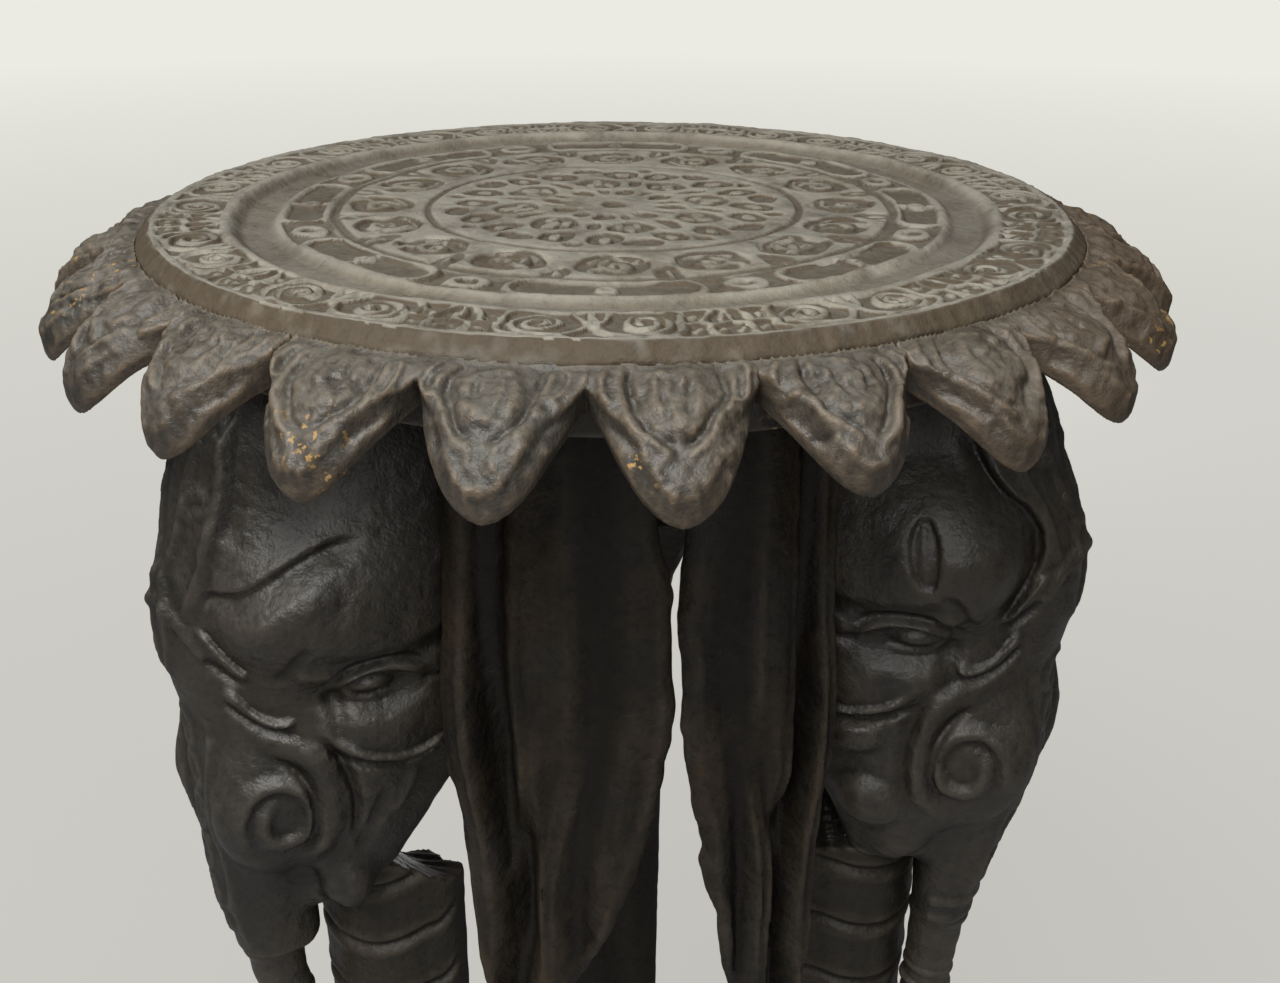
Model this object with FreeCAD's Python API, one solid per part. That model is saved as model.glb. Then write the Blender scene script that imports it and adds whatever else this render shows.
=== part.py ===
import FreeCAD, Part
import math
import os

from FreeCAD import Vector

os.makedirs("parts", exist_ok=True)

# Overall sizes, in millimetres. The origin is on the floor under the middle of the round top.
stand_height = 540.0
rim_radius = 165.0
head_count = 3
first_head_angle = 90.0

# Round top and the rabbet that takes the petal apron.
disc_thickness = 26.0
rim_band_height = 8.0
rabbet_width = 17.0
rim_round = 2.0

# Mouldings of the carved face, in rim radii, and their depths below the rim.
border_outer_share = 0.963
border_inner_share = 0.822
border_sink = 1.4
cove_outer_share = 0.812
cove_floor_outer_share = 0.775
cove_floor_inner_share = 0.728
cove_inner_share = 0.700
cove_depth = 4.2
middle_sink = 1.2

# Band of long cartouches with ringed cells between them.
cartouche_count = 8
cartouche_share = 0.653
cartouche_turn = 41.5
cartouche_half_width = 5.8
cartouche_half_angle = 14.4
cartouche_sink = 2.0
ring_cell_half_width = 7.2
ring_cell_half_angle = 6.0
ring_outer_radius = 6.0
ring_inner_radius = 3.0

# Ring of oval leaf cells, each round a raised leaf.
leaf_count = 16
leaf_share = 0.492
leaf_turn = 20.0
leaf_half_length = 9.6
leaf_half_width = 10.2
leaf_core_share = 0.45
leaf_sink = 2.4

# Rosette in the middle: place in rim radii, turn, half length along the radius and half width of each cell.
rosette_count = 8
rosette_cells = (
    (0.120, 30.0, 3.9, 2.9),
    (0.210, 7.5, 6.8, 6.6),
    (0.305, 22.0, 6.1, 4.2),
    (0.305, 38.0, 6.1, 4.2),
)
rosette_sink = 2.4
rosette_eye_diameter = 9.0

# Petal apron: segments of a ring, each cut into hanging petals.
segment_count = 6
petals_per_segment = 4
petal_reach = 28.0
petal_drop = 37.0
petal_thickness = 12.0
petal_bow = 6.5
petal_root_step = 1.5
petal_turn = 2.7
petal_boss_height = 3.5
petal_boss_width = 12.0
petal_boss_length = 11.0
# One side of the notch between petals: share of the petal's length, share of half its width.
notch_side = (
    (0.15, 0.00), (0.20, 0.10), (0.28, 0.16), (0.44, 0.24), (0.60, 0.34), (0.73, 0.47), (0.845, 0.63), (0.925, 0.80),
    (0.985, 1.01),
)

# Joinery.
glue_gap = 0.15
peg_diameter = 6.0
peg_length = 26.0
spline_thickness = 4.0
spline_width = 7.0
spline_inset = 6.0
spline_length = 20.0
dowel_diameter = 12.0
core_dowel_length = 44.0
head_dowel_length = 36.0
head_dowel_in_disc = 16.0
trunk_dowel_diameter = 8.0
trunk_dowel_length = 36.0
dowel_end_gap = 0.5
spigot_diameter = 44.0
spigot_height = 12.0
tongue_thickness = 6.0
tongue_depth = 9.0
tongue_run = 0.16  # share of the ear's width along which the tongue runs inside the ear
tongue_top_depth = 0.30
tongue_bottom_depth = 0.85
tenon_depth = 16.0
tenon_width = 28.0
tenon_height = 40.0

# Core block that ties the three heads together under the top.
core_height = 74.0
core_flat_half_width = 42.0

# Elephant head proportions, in rim radii: depth below the top, back, front, half width.
core_face_share = 0.29
head_top_section = (0.27, 0.885, 0.25)
head_sections = (
    (0.30, 0.27, 0.965, 0.280),
    (0.45, 0.27, 1.015, 0.300),
    (0.60, 0.28, 1.035, 0.305),
    (0.76, 0.33, 1.040, 0.300),
    (0.92, 0.41, 1.035, 0.285),
    (1.08, 0.53, 1.010, 0.262),
    (1.22, 0.61, 0.950, 0.225),
    (1.36, 0.66, 0.855, 0.170),
)
# Trunk root along the centre line: depth, centre, half depth, half width.
trunk_root_sections = (
    (0.84, 0.895, 0.110, 0.150),
    (0.98, 0.925, 0.104, 0.148),
    (1.11, 0.930, 0.100, 0.134),
    (1.25, 0.912, 0.096, 0.114),
    (1.40, 0.890, 0.084, 0.094),
    (1.57, 0.872, 0.066, 0.078),
)
# Rounded forms carved on the head: x, y, depth, then the three half sizes.
forehead_lobe = (0.985, 0.0, 0.70, 0.09, 0.12, 0.20)
brow_boss = (0.845, 0.195, 0.600, 0.130, 0.117, 0.098)
brow_bridge = (0.770, 0.224, 0.612, 0.140, 0.095, 0.094)
temple_boss = (0.690, 0.250, 0.625, 0.152, 0.087, 0.102)
eye_boss = (0.756, 0.262, 0.785, 0.060, 0.034, 0.034)
cheek_boss = (0.700, 0.225, 0.900, 0.152, 0.087, 0.087)
scroll_boss = (0.905, 0.150, 1.090, 0.107, 0.072, 0.127)
lip_boss = (0.785, 0.150, 1.300, 0.061, 0.063, 0.099)
volute_place = (0.925, 0.203, 1.088)
volute_radius = 0.072
volute_wire = 0.024
volute_button = 0.038

# Ears, in rim radii: places of root and free edge in plan, then outlines as shares of the width and depths.
ear_thickness = 9.0
ear_bow = 0.075
ear_fold = 0.020
ear_fold_waves = 1.5
ear_top_gap = 2.0
ear_left_line = ((0.575, 0.265), (0.310, 0.650))
ear_right_line = ((0.600, -0.265), (0.448, -0.562))
ear_left_outline = (
    (0.00, 1.05), (0.14, 1.18), (0.19, 1.43), (0.26, 1.56), (0.40, 1.68), (0.52, 1.64), (0.66, 1.50), (0.80, 1.34),
    (0.93, 1.14), (0.99, 0.96), (1.00, 0.79), (0.995, 0.60), (0.98, 0.44), (0.94, 0.25),
)
ear_right_outline = (
    (0.00, 1.03), (0.13, 1.16), (0.17, 1.37), (0.22, 1.56), (0.34, 1.67), (0.46, 1.70), (0.60, 1.63), (0.74, 1.51),
    (0.83, 1.36), (0.90, 1.10), (0.99, 0.92), (1.00, 0.70), (0.99, 0.44), (0.88, 0.25),
)

# Trunk below its sheath: x, depth and radius in rim radii, ending in the leg.
trunk_stations = (
    (0.872, 1.57, 0.058),
    (0.863, 1.68, 0.053),
    (0.849, 1.80, 0.048),
    (0.827, 1.91, 0.044),
    (0.797, 2.00, 0.041),
    (0.758, 2.06, 0.040),
)

# Leg: banded post between jaw and ankle, then the foot.
post_top_depth = 1.36
band_count = 9
band_groove = 1.6
ankle_height = 72.0
post_inner = 0.488
post_outer_top = 0.785
post_outer_ankle = 0.735
post_half_width_top = 0.165
post_half_width_ankle = 0.150
# Foot: share of the ankle height, inner, outer and half width in rim radii.
foot_sections = (
    (0.62, 0.472, 0.805, 0.175),
    (0.28, 0.455, 0.880, 0.210),
    (0.00, 0.465, 0.880, 0.210),
)
toe_count = 4
toe_spread = 46.0
toe_radius = 8.0
toe_height = 11.0

up = Vector(0, 0, 1)
origin = Vector(0, 0, 0)
disc_underside = stand_height - disc_thickness
flange_underside = stand_height - rim_band_height
rabbet_radius = rim_radius - rabbet_width
tip_radius = rim_radius + petal_reach
petal_count = segment_count * petals_per_segment
petal_pitch = 360.0 / petal_count
segment_angle = 360.0 / segment_count
core_face = core_face_share * rim_radius
core_bottom = disc_underside - core_height
post_top = stand_height - post_top_depth * rim_radius
middle_level = stand_height - middle_sink
peg_level = (disc_underside + flange_underside) / 2.0
head_angles = [first_head_angle + number * 360.0 / head_count for number in range(head_count)]


def turned(shape, angle):
    """A copy of a shape turned about the stand's axis."""
    copy = shape.copy()
    copy.rotate(origin, up, angle)
    return copy


def around(radius, angle, level):
    """The point at a radius and an angle in degrees about the stand's axis."""
    return Vector(radius * math.cos(math.radians(angle)), radius * math.sin(math.radians(angle)), level)


def on_head(x, y, depth):
    """A point from head proportions: rim radii outward, sideways and below the top."""
    return Vector(x * rim_radius, y * rim_radius, stand_height - depth * rim_radius)


def smooth_edge(points):
    """An open smooth curve through the points."""
    curve = Part.BSplineCurve()
    curve.interpolate(points)
    return curve.toShape()


def smooth_loop(points):
    """A closed smooth curve through the points."""
    curve = Part.BSplineCurve()
    curve.interpolate(Points=points, PeriodicFlag=True)
    return Part.Wire(curve.toShape())


def smooth_loft(wires):
    """A solid with a smooth skin through the closed wires."""
    return Part.makeLoft(wires, True, False)


def bar(start, direction, diameter, length):
    """A round bar."""
    return Part.makeCylinder(diameter / 2.0, length, start, direction)


def hole_for(start, direction, diameter, length):
    """The hole for a round bar, with room for glue all round and at both ends."""
    way = Vector(direction).normalize()
    return bar(start - way * dowel_end_gap, way, diameter + 2 * glue_gap, length + 2 * dowel_end_gap)


def ellipsoid(place, half_sizes):
    """An ellipsoid with its axes along the head's own directions."""
    ball = Part.makeSphere(1.0)
    stretch = FreeCAD.Matrix()
    stretch.scale(*half_sizes)
    shape = ball.transformGeometry(stretch)
    shape.translate(place)
    return shape


def head_boss(values, side=1, grow=0.0):
    """A rounded form on the head from its proportions."""
    x, y, depth = values[:3]
    return ellipsoid(on_head(x, side * y, depth), [size * rim_radius + grow for size in values[3:]])


def plan_box(middle, direction, length, width, bottom, top):
    """An upright box centred on a plan point, its length along a plan direction."""
    box = Part.makeBox(length, width, top - bottom)
    box.translate(Vector(-length / 2.0, -width / 2.0, bottom))
    box.rotate(origin, up, math.degrees(math.atan2(direction.y, direction.x)))
    box.translate(Vector(middle.x, middle.y, 0))
    return box


def peg_angles():
    """Angles of the apron's two pegs within one segment, behind its outer petals."""
    turn = (segment_angle - petal_pitch) / 2.0
    return [-turn, turn]


def make_peg(angle):
    """One apron peg, half in the disc and half in the segment."""
    return bar(around(rabbet_radius - peg_length / 2.0, angle, peg_level), around(1, angle, 0), peg_diameter, peg_length)


def make_peg_hole(angle):
    """The hole for one apron peg."""
    return hole_for(around(rabbet_radius - peg_length / 2.0, angle, peg_level), around(1, angle, 0), peg_diameter, peg_length)


def make_spline(angle, gap):
    """The loose tongue across the joint of two segments, or its slot when a gap is given."""
    middle_radius = rabbet_radius + spline_inset
    across = around(1, angle + 90.0, 0)
    bottom = peg_level - spline_thickness / 2.0 - gap
    top = peg_level + spline_thickness / 2.0 + gap
    return plan_box(around(middle_radius, angle, 0), across, spline_length + 2 * gap, spline_width + 2 * gap, bottom, top)


def segment_middles():
    """Angles of the segments' middles about the stand."""
    first = petal_turn + (segment_angle - petal_pitch) / 2.0
    return [first + number * segment_angle for number in range(segment_count)]


def apron_line():
    """Root and tip of a petal's upper face in section, with the directions along it and out of it."""
    root = Vector(rim_radius - petal_root_step, 0, flange_underside - glue_gap)
    tip = Vector(tip_radius, 0, stand_height - petal_drop)
    slope = (tip - root).normalize()
    outward = Vector(-slope.z, 0, slope.x)
    return root, tip, slope, outward


def apron_crown():
    """The middle of a petal's upper face."""
    root, tip, slope, outward = apron_line()
    return (root + tip) * 0.5 + outward * petal_bow


def make_apron_profile():
    """The section of the petal apron through a petal's middle."""
    root, tip, slope, outward = apron_line()
    under_tip = tip - outward * petal_thickness * 0.8 - slope * petal_thickness * 0.25
    under_root = Vector(rim_radius - petal_thickness * 0.6, 0, disc_underside)
    under_crown = (under_root + under_tip) * 0.5 + outward * petal_bow * 0.6
    inner_low = Vector(rabbet_radius + glue_gap, 0, disc_underside)
    inner_high = Vector(rabbet_radius + glue_gap, 0, root.z)
    edges = [
        Part.makeLine(inner_low, inner_high),
        Part.makeLine(inner_high, root),
        Part.Arc(root, apron_crown(), tip).toShape(),
        Part.makeLine(tip, under_tip),
        Part.Arc(under_tip, under_crown, under_root).toShape(),
        Part.makeLine(under_root, inner_low),
    ]
    return Part.Face(Part.Wire(edges))


def make_notch(angle):
    """The cutter for the notch between two petals, square to the petals' slope."""
    root, tip, slope, outward = apron_line()
    length = (tip - root).Length
    half_width = math.pi * tip_radius / petal_count
    sides = [(share, -width) for share, width in reversed(notch_side[1:])] + list(notch_side)
    base = root - outward * petal_thickness * 2.0
    points = [base + slope * length * share + Vector(0, half_width * width, 0) for share, width in sides]
    far = slope * length * 0.6
    edges = [
        smooth_edge(points),
        Part.makeLine(points[-1], points[-1] + far),
        Part.makeLine(points[-1] + far, points[0] + far),
        Part.makeLine(points[0] + far, points[0]),
    ]
    return turned(Part.Face(Part.Wire(edges)).extrude(outward * petal_thickness * 4.0), angle)


def make_segment():
    """One apron segment, its middle on the X axis."""
    half = segment_angle / 2.0
    end_gap = math.degrees(glue_gap / rim_radius)
    profile = make_apron_profile()
    profile.rotate(origin, up, -half + end_gap)
    segment = profile.revolve(origin, up, segment_angle - 2 * end_gap)
    root, tip, slope, outward = apron_line()
    tilt = math.degrees(math.atan2(outward.x, outward.z))
    for number in range(petals_per_segment):
        boss = ellipsoid(origin, (petal_boss_length, petal_boss_width, petal_boss_height))
        boss.rotate(origin, Vector(0, 1, 0), tilt)
        boss.translate(apron_crown())
        segment = segment.fuse(turned(boss, (number + 0.5) * petal_pitch - half))
    for number in range(petals_per_segment + 1):
        segment = segment.cut(make_notch(number * petal_pitch - half))
    for angle in peg_angles():
        segment = segment.cut(make_peg_hole(angle))
    for angle in (-half, half):
        segment = segment.cut(make_spline(angle, glue_gap))
    return segment


def head_dowel_places():
    """Plan places of one head's two upright dowels."""
    return [Vector(0.46 * rim_radius, 0, 0), Vector(0.70 * rim_radius, 0, 0)]


def disc_outline():
    """Section of the top from the middle of its face to the middle of its underside: share of the rim radius, drop."""
    face = [
        (0.0, middle_sink),
        (cove_inner_share, middle_sink),
        (cove_floor_inner_share, cove_depth),
        (cove_floor_outer_share, cove_depth),
        (cove_outer_share, 0.0),
        (border_inner_share, 0.0),
        (border_inner_share, border_sink),
        (border_outer_share, border_sink),
        (border_outer_share, 0.0),
    ]
    return [Vector(share * rim_radius, 0, stand_height - drop) for share, drop in face]


def pocket_base(sink):
    """The floor of a pocket in the sunk middle of the top."""
    return Vector(0, 0, middle_level - sink)


def oval_pocket(radius, angle, half_length, half_width, sink):
    """An oval pocket's cutter, its length along the radius."""
    oval = Part.Ellipse(origin, max(half_length, half_width), min(half_length, half_width)).toShape()
    if half_width > half_length:
        oval.rotate(origin, up, 90.0)
    oval.translate(pocket_base(sink) + Vector(radius, 0, 0))
    prism = Part.Face(Part.Wire(oval)).extrude(up * (sink + middle_sink))
    return turned(prism, angle)


def arc_pocket(half_width, angle, half_angle, sink):
    """The cutter of a pocket that follows the round of the cartouche band."""
    middle = cartouche_share * rim_radius
    height = sink + middle_sink
    outer = Part.makeCylinder(middle + half_width, height, pocket_base(sink), up, 2.0 * half_angle)
    inner = Part.makeCylinder(middle - half_width, height, pocket_base(sink), up, 360.0)
    return turned(outer.cut(inner), angle - half_angle)


def make_pockets():
    """Cutters for the main sunk cells of the carved face."""
    pockets = [bar(pocket_base(rosette_sink), up, rosette_eye_diameter, rosette_sink + middle_sink)]
    for number in range(rosette_count):
        for share, turn, half_length, half_width in rosette_cells:
            angle = turn + number * 360.0 / rosette_count
            pockets.append(oval_pocket(share * rim_radius, angle, half_length, half_width, rosette_sink))
    for number in range(leaf_count):
        angle = leaf_turn + number * 360.0 / leaf_count
        sizes = (leaf_half_length, leaf_half_width)
        cores = [size * leaf_core_share for size in sizes]
        cell = oval_pocket(leaf_share * rim_radius, angle, *sizes, leaf_sink)
        pockets.append(cell.cut(oval_pocket(leaf_share * rim_radius, angle, *cores, leaf_sink)))
    pitch = 360.0 / cartouche_count
    for number in range(cartouche_count):
        angle = cartouche_turn + number * pitch
        pockets.append(arc_pocket(cartouche_half_width, angle, cartouche_half_angle, cartouche_sink))
        cell = arc_pocket(ring_cell_half_width, angle + pitch / 2.0, ring_cell_half_angle, cartouche_sink)
        place = around(cartouche_share * rim_radius, angle + pitch / 2.0, middle_level - cartouche_sink)
        ring = Part.makeCylinder(ring_outer_radius, cartouche_sink + middle_sink, place)
        ring = ring.cut(Part.makeCylinder(ring_inner_radius, cartouche_sink + middle_sink, place))
        pockets.append(cell.cut(ring))
    return pockets


def make_disc():
    """The round top with its carved face, rabbet, spigot socket and dowel holes."""
    face = disc_outline()
    rim_start = Vector(rim_radius - rim_round, 0, stand_height)
    rim_end = Vector(rim_radius, 0, stand_height - rim_round)
    rim_crown = Vector(rim_radius - rim_round * 0.293, 0, stand_height - rim_round * 0.293)
    under = [
        rim_end,
        Vector(rim_radius, 0, flange_underside),
        Vector(rabbet_radius, 0, flange_underside),
        Vector(rabbet_radius, 0, disc_underside),
        Vector(0, 0, disc_underside),
        face[0],
    ]
    edges = [Part.makeLine(start, end) for start, end in zip(face, face[1:] + [rim_start])]
    edges.append(Part.Arc(rim_start, rim_crown, rim_end).toShape())
    edges += [Part.makeLine(start, end) for start, end in zip(under[:-1], under[1:])]
    disc = Part.Face(Part.Wire(edges)).revolve(origin, up, 360.0)
    disc = Part.Solid(disc) if disc.ShapeType == "Shell" else disc
    disc = disc.cut(make_pockets())
    disc = disc.cut(hole_for(Vector(0, 0, disc_underside), up, spigot_diameter, spigot_height))
    for middle in segment_middles():
        for angle in peg_angles():
            disc = disc.cut(make_peg_hole(middle + angle))
    for angle in head_angles:
        for place in head_dowel_places():
            disc = disc.cut(turned(make_head_dowel_hole(place), angle))
    return disc


def make_head_dowel(place):
    """An upright dowel between head and disc."""
    start = Vector(place.x, place.y, disc_underside + head_dowel_in_disc - head_dowel_length)
    return bar(start, up, dowel_diameter, head_dowel_length)


def make_head_dowel_hole(place):
    """The hole for an upright head dowel."""
    start = Vector(place.x, place.y, disc_underside + head_dowel_in_disc - head_dowel_length)
    return hole_for(start, up, dowel_diameter, head_dowel_length)


def core_dowel_starts():
    """Where one head's two level dowels begin, inside the core block."""
    levels = (core_bottom + core_height * 0.28, core_bottom + core_height * 0.28)
    sides = (-core_flat_half_width * 0.45, core_flat_half_width * 0.45)
    return [Vector(core_face - core_dowel_length / 2.0, side, level) for side, level in zip(sides, levels)]


def make_core_block():
    """The six-sided block between the heads, with a spigot up into the disc."""
    corners = []
    for angle in head_angles:
        for side in (-core_flat_half_width, core_flat_half_width):
            corner = Vector(core_face - glue_gap, side, core_bottom)
            turn = math.radians(angle)
            corners.append(Vector(
                corner.x * math.cos(turn) - corner.y * math.sin(turn),
                corner.x * math.sin(turn) + corner.y * math.cos(turn),
                core_bottom,
            ))
    block = Part.Face(Part.makePolygon(corners + corners[:1])).extrude(up * core_height)
    block = block.fuse(bar(Vector(0, 0, disc_underside), up, spigot_diameter, spigot_height))
    for angle in head_angles:
        for start in core_dowel_starts():
            block = block.cut(turned(hole_for(start, Vector(1, 0, 0), dowel_diameter, core_dowel_length), angle))
    return block


def head_section(level, back, front, half_width, grow):
    """One level section of a head: broad at the cheeks, narrow at the brow line."""
    back = back * rim_radius - grow
    front = front * rim_radius + grow
    half_width = half_width * rim_radius + grow
    length = front - back
    half = [
        (1.0, 0.0), (0.955, 0.36), (0.80, 0.72), (0.56, 0.97), (0.30, 1.0), (0.07, 0.84), (0.0, 0.45),
    ]
    points = [Vector(back + length * x, half_width * y, level) for x, y in half]
    points.append(Vector(back, 0, level))
    points += [Vector(back + length * x, -half_width * y, level) for x, y in reversed(half[1:])]
    return smooth_loop(points)


def make_head_body(grow=0.0):
    """The main mass of a head, from the disc down to the jaw's seat on the leg."""
    wires = [head_section(disc_underside, *head_top_section, grow)]
    for depth, back, front, half_width in head_sections:
        wires.append(head_section(stand_height - depth * rim_radius, back, front, half_width, grow))
    return smooth_loft(wires)


def make_trunk_root():
    """The tapering root of the trunk on the face's centre line."""
    wires = []
    for depth, middle, half_depth, half_width in trunk_root_sections:
        points = []
        for number in range(12):
            turn = math.radians(30.0 * number)
            points.append(on_head(middle + half_depth * math.cos(turn), half_width * math.sin(turn), depth))
        wires.append(smooth_loop(points))
    return smooth_loft(wires)


def make_volute(side):
    """The raised scroll on one cheek: a ring round a button."""
    x, y, depth = volute_place
    place = on_head(x, side * y, depth)
    ring = Part.makeTorus(volute_radius * rim_radius, volute_wire * rim_radius, place, Vector(0.30, side, 0))
    button = Part.makeSphere(volute_button * rim_radius, place)
    return ring.fuse(button)


def ear_frame(line):
    """Root, free edge, direction along the ear and its outward side, all in plan."""
    root = Vector(line[0][0] * rim_radius, line[0][1] * rim_radius, 0)
    free = Vector(line[1][0] * rim_radius, line[1][1] * rim_radius, 0)
    along = (free - root).normalize()
    outward = Vector(along.y, -along.x, 0)
    if outward.x < 0:
        outward = outward * -1.0
    return root, free, along, outward


def ear_middle(line, share):
    """Plan point on the ear's middle line, at a share of its width from the root."""
    root, free, along, outward = ear_frame(line)
    width = (free - root).Length
    wave = ear_fold * math.sin(2.0 * math.pi * ear_fold_waves * share) * math.sin(math.pi * share) ** 0.5
    swell = ear_bow * math.sin(math.pi * share) + wave
    return root + along * width * share + outward * swell * rim_radius


def make_tongue(line, gap):
    """The tongue on an ear's root, or its groove in the head when a gap is given."""
    start = ear_middle(line, 0.0)
    end = ear_middle(line, tongue_run)
    way = (end - start).normalize()
    overlap = (end - start).Length
    middle = start + way * (overlap - tongue_depth) / 2.0
    length = overlap + tongue_depth + 2 * gap
    top = stand_height - tongue_top_depth * rim_radius + gap
    bottom = stand_height - tongue_bottom_depth * rim_radius - gap
    return plan_box(middle, way, length, tongue_thickness + 2 * gap, bottom, top)


def make_ear(line, outline):
    """A hanging ear: a folded sheet cut to its leaf-shaped outline."""
    root, free, along, outward = ear_frame(line)
    width = (free - root).Length
    outer_points = []
    inner_points = []
    for number in range(13):
        share = number / 12.0
        middle = ear_middle(line, share)
        outer_points.append(middle + outward * ear_thickness / 2.0)
        inner_points.append(middle - outward * ear_thickness / 2.0)
    plan = Part.Wire([
        smooth_edge(outer_points),
        Part.makeLine(outer_points[-1], inner_points[-1]),
        smooth_edge(inner_points[::-1]),
        Part.makeLine(inner_points[0], outer_points[0]),
    ])
    sheet = Part.Face(plan).extrude(up * stand_height)
    ear_top = disc_underside - ear_top_gap
    side_points = []
    for share, depth in outline:
        place = root + along * width * share - outward * rim_radius
        side_points.append(Vector(place.x, place.y, stand_height - depth * rim_radius))
    last = Vector(side_points[-1].x, side_points[-1].y, ear_top)
    behind = root - along * width * 0.1 - outward * rim_radius
    edges = [
        smooth_edge(side_points),
        Part.makeLine(side_points[-1], last),
        Part.makeLine(last, Vector(behind.x, behind.y, ear_top)),
        Part.makeLine(Vector(behind.x, behind.y, ear_top), Vector(behind.x, behind.y, side_points[0].z)),
        Part.makeLine(Vector(behind.x, behind.y, side_points[0].z), side_points[0]),
    ]
    leaf = Part.Face(Part.Wire(edges)).extrude(outward * rim_radius * 2.0)
    ear = sheet.common(leaf)
    ear = ear.cut(make_head_body(glue_gap))
    side = 1 if root.y > 0 else -1
    for values in (temple_boss, cheek_boss):
        ear = ear.cut(head_boss(values, side, glue_gap))
    return ear.fuse(make_tongue(line, 0.0))


def make_trunk_body(grow=0.0):
    """The slender trunk's form: round sections along a line that bends in to the leg."""
    points = [on_head(x, 0, depth) for x, depth, radius in trunk_stations]
    line = Part.BSplineCurve()
    line.interpolate(points)
    ways = [line.tangent(line.parameter(point))[0] for point in points]
    points[-1] = points[-1] + ways[-1] * grow
    wires = []
    for station, point, way in zip(trunk_stations, points, ways):
        wires.append(Part.Wire(Part.makeCircle(station[2] * rim_radius + grow, point, way)))
    return smooth_loft(wires)


def make_trunk():
    """The trunk below its sheath, cut square at the joint and bored for its dowel."""
    level = stand_height - trunk_stations[0][1] * rim_radius - glue_gap
    above = Part.makeBox(2 * rim_radius, rim_radius, rim_radius, Vector(0, -rim_radius / 2.0, level))
    return make_trunk_body().cut(above).cut(make_trunk_dowel_hole())


def trunk_dowel_start():
    """Lower end of the dowel between trunk and sheath."""
    place = on_head(trunk_stations[0][0], 0, trunk_stations[0][1])
    return place - up * trunk_dowel_length / 2.0


def make_trunk_dowel_hole():
    """The hole for the trunk's dowel."""
    return hole_for(trunk_dowel_start(), up, trunk_dowel_diameter, trunk_dowel_length)


def make_head():
    """One elephant head with its joints cut."""
    head = make_head_body().fuse(make_trunk_root())
    head = head.fuse(head_boss(forehead_lobe))
    for side in (-1, 1):
        for values in (brow_boss, brow_bridge, temple_boss, eye_boss, cheek_boss, scroll_boss, lip_boss):
            head = head.fuse(head_boss(values, side))
        head = head.fuse(make_volute(side))
    back = Part.makeBox(rim_radius, 2 * rim_radius, stand_height)
    back.translate(Vector(core_face - rim_radius, -rim_radius, 0))
    head = head.cut(back)
    for line in (ear_left_line, ear_right_line):
        head = head.cut(make_tongue(line, glue_gap))
    for place in head_dowel_places():
        head = head.cut(make_head_dowel_hole(place))
    for start in core_dowel_starts():
        head = head.cut(hole_for(start, Vector(1, 0, 0), dowel_diameter, core_dowel_length))
    head = head.cut(make_tenon(glue_gap))
    return head.cut(make_trunk_dowel_hole())


def post_shape(level):
    """Inner face, outer face and half width of the post at a level."""
    share = (level - ankle_height) / (post_top - ankle_height)
    outer = post_outer_ankle + (post_outer_top - post_outer_ankle) * share
    half_width = post_half_width_ankle + (post_half_width_top - post_half_width_ankle) * share
    return post_inner * rim_radius, outer * rim_radius, half_width * rim_radius


def post_section(level, inner, outer, half_width):
    """A level section of the leg: rounded outside, flatter inside."""
    length = outer - inner
    half = [(1.0, 0.0), (0.95, 0.50), (0.76, 0.88), (0.45, 1.0), (0.14, 0.97), (0.0, 0.70)]
    points = [Vector(inner + length * x, half_width * y, level) for x, y in half]
    points.append(Vector(inner, 0, level))
    points += [Vector(inner + length * x, -half_width * y, level) for x, y in reversed(half[1:])]
    return smooth_loop(points)


def make_tenon(gap):
    """The tenon on the leg's top, or its mortise in the jaw when a gap is given."""
    middle = Vector((0.645 + post_outer_top) / 2.0 * rim_radius, 0, 0)
    length = tenon_depth + 2 * gap
    return plan_box(middle, Vector(1, 0, 0), length, tenon_width + 2 * gap, post_top - 2.0, post_top + tenon_height + gap)


def make_leg():
    """One leg: banded post, foot with toenails, tenon, and the socket for the trunk's end."""
    band_height = (post_top - glue_gap - ankle_height) / band_count
    leg = None
    for number in range(band_count):
        bottom = ankle_height + number * band_height
        wires = []
        for share, inset in ((0.0, band_groove), (0.25, 0.3), (0.6, 0.0), (1.0, band_groove)):
            level = bottom + share * band_height
            inner, outer, half_width = post_shape(level)
            wires.append(post_section(level, inner + inset * 0.3, outer - inset, half_width - inset))
        band = smooth_loft(wires)
        leg = band if leg is None else leg.fuse(band)
    inner, outer, half_width = post_shape(ankle_height)
    wires = [post_section(ankle_height, inner + band_groove * 0.3, outer - band_groove, half_width - band_groove)]
    for share, inner, outer, half_width in foot_sections:
        level = share * ankle_height
        wires.append(post_section(level, inner * rim_radius, outer * rim_radius, half_width * rim_radius))
    leg = leg.fuse(smooth_loft(wires))
    foot_inner, foot_outer, foot_half = [value * rim_radius for value in foot_sections[-1][1:]]
    middle = foot_outer - foot_half
    for number in range(toe_count):
        turn = math.radians(toe_spread * (2.0 * number / (toe_count - 1) - 1.0))
        place = Vector(middle + foot_half * math.cos(turn), foot_half * math.sin(turn) * 0.95, toe_height)
        toe = ellipsoid(place, (toe_radius * 0.7, toe_radius, toe_height * 0.98))
        leg = leg.fuse(toe)
    leg = leg.fuse(make_tenon(0.0))
    return leg.cut(make_trunk_body(glue_gap))


def export(name, shape):
    """Writes one node."""
    shape.exportStep("parts/" + name + ".step")


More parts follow.
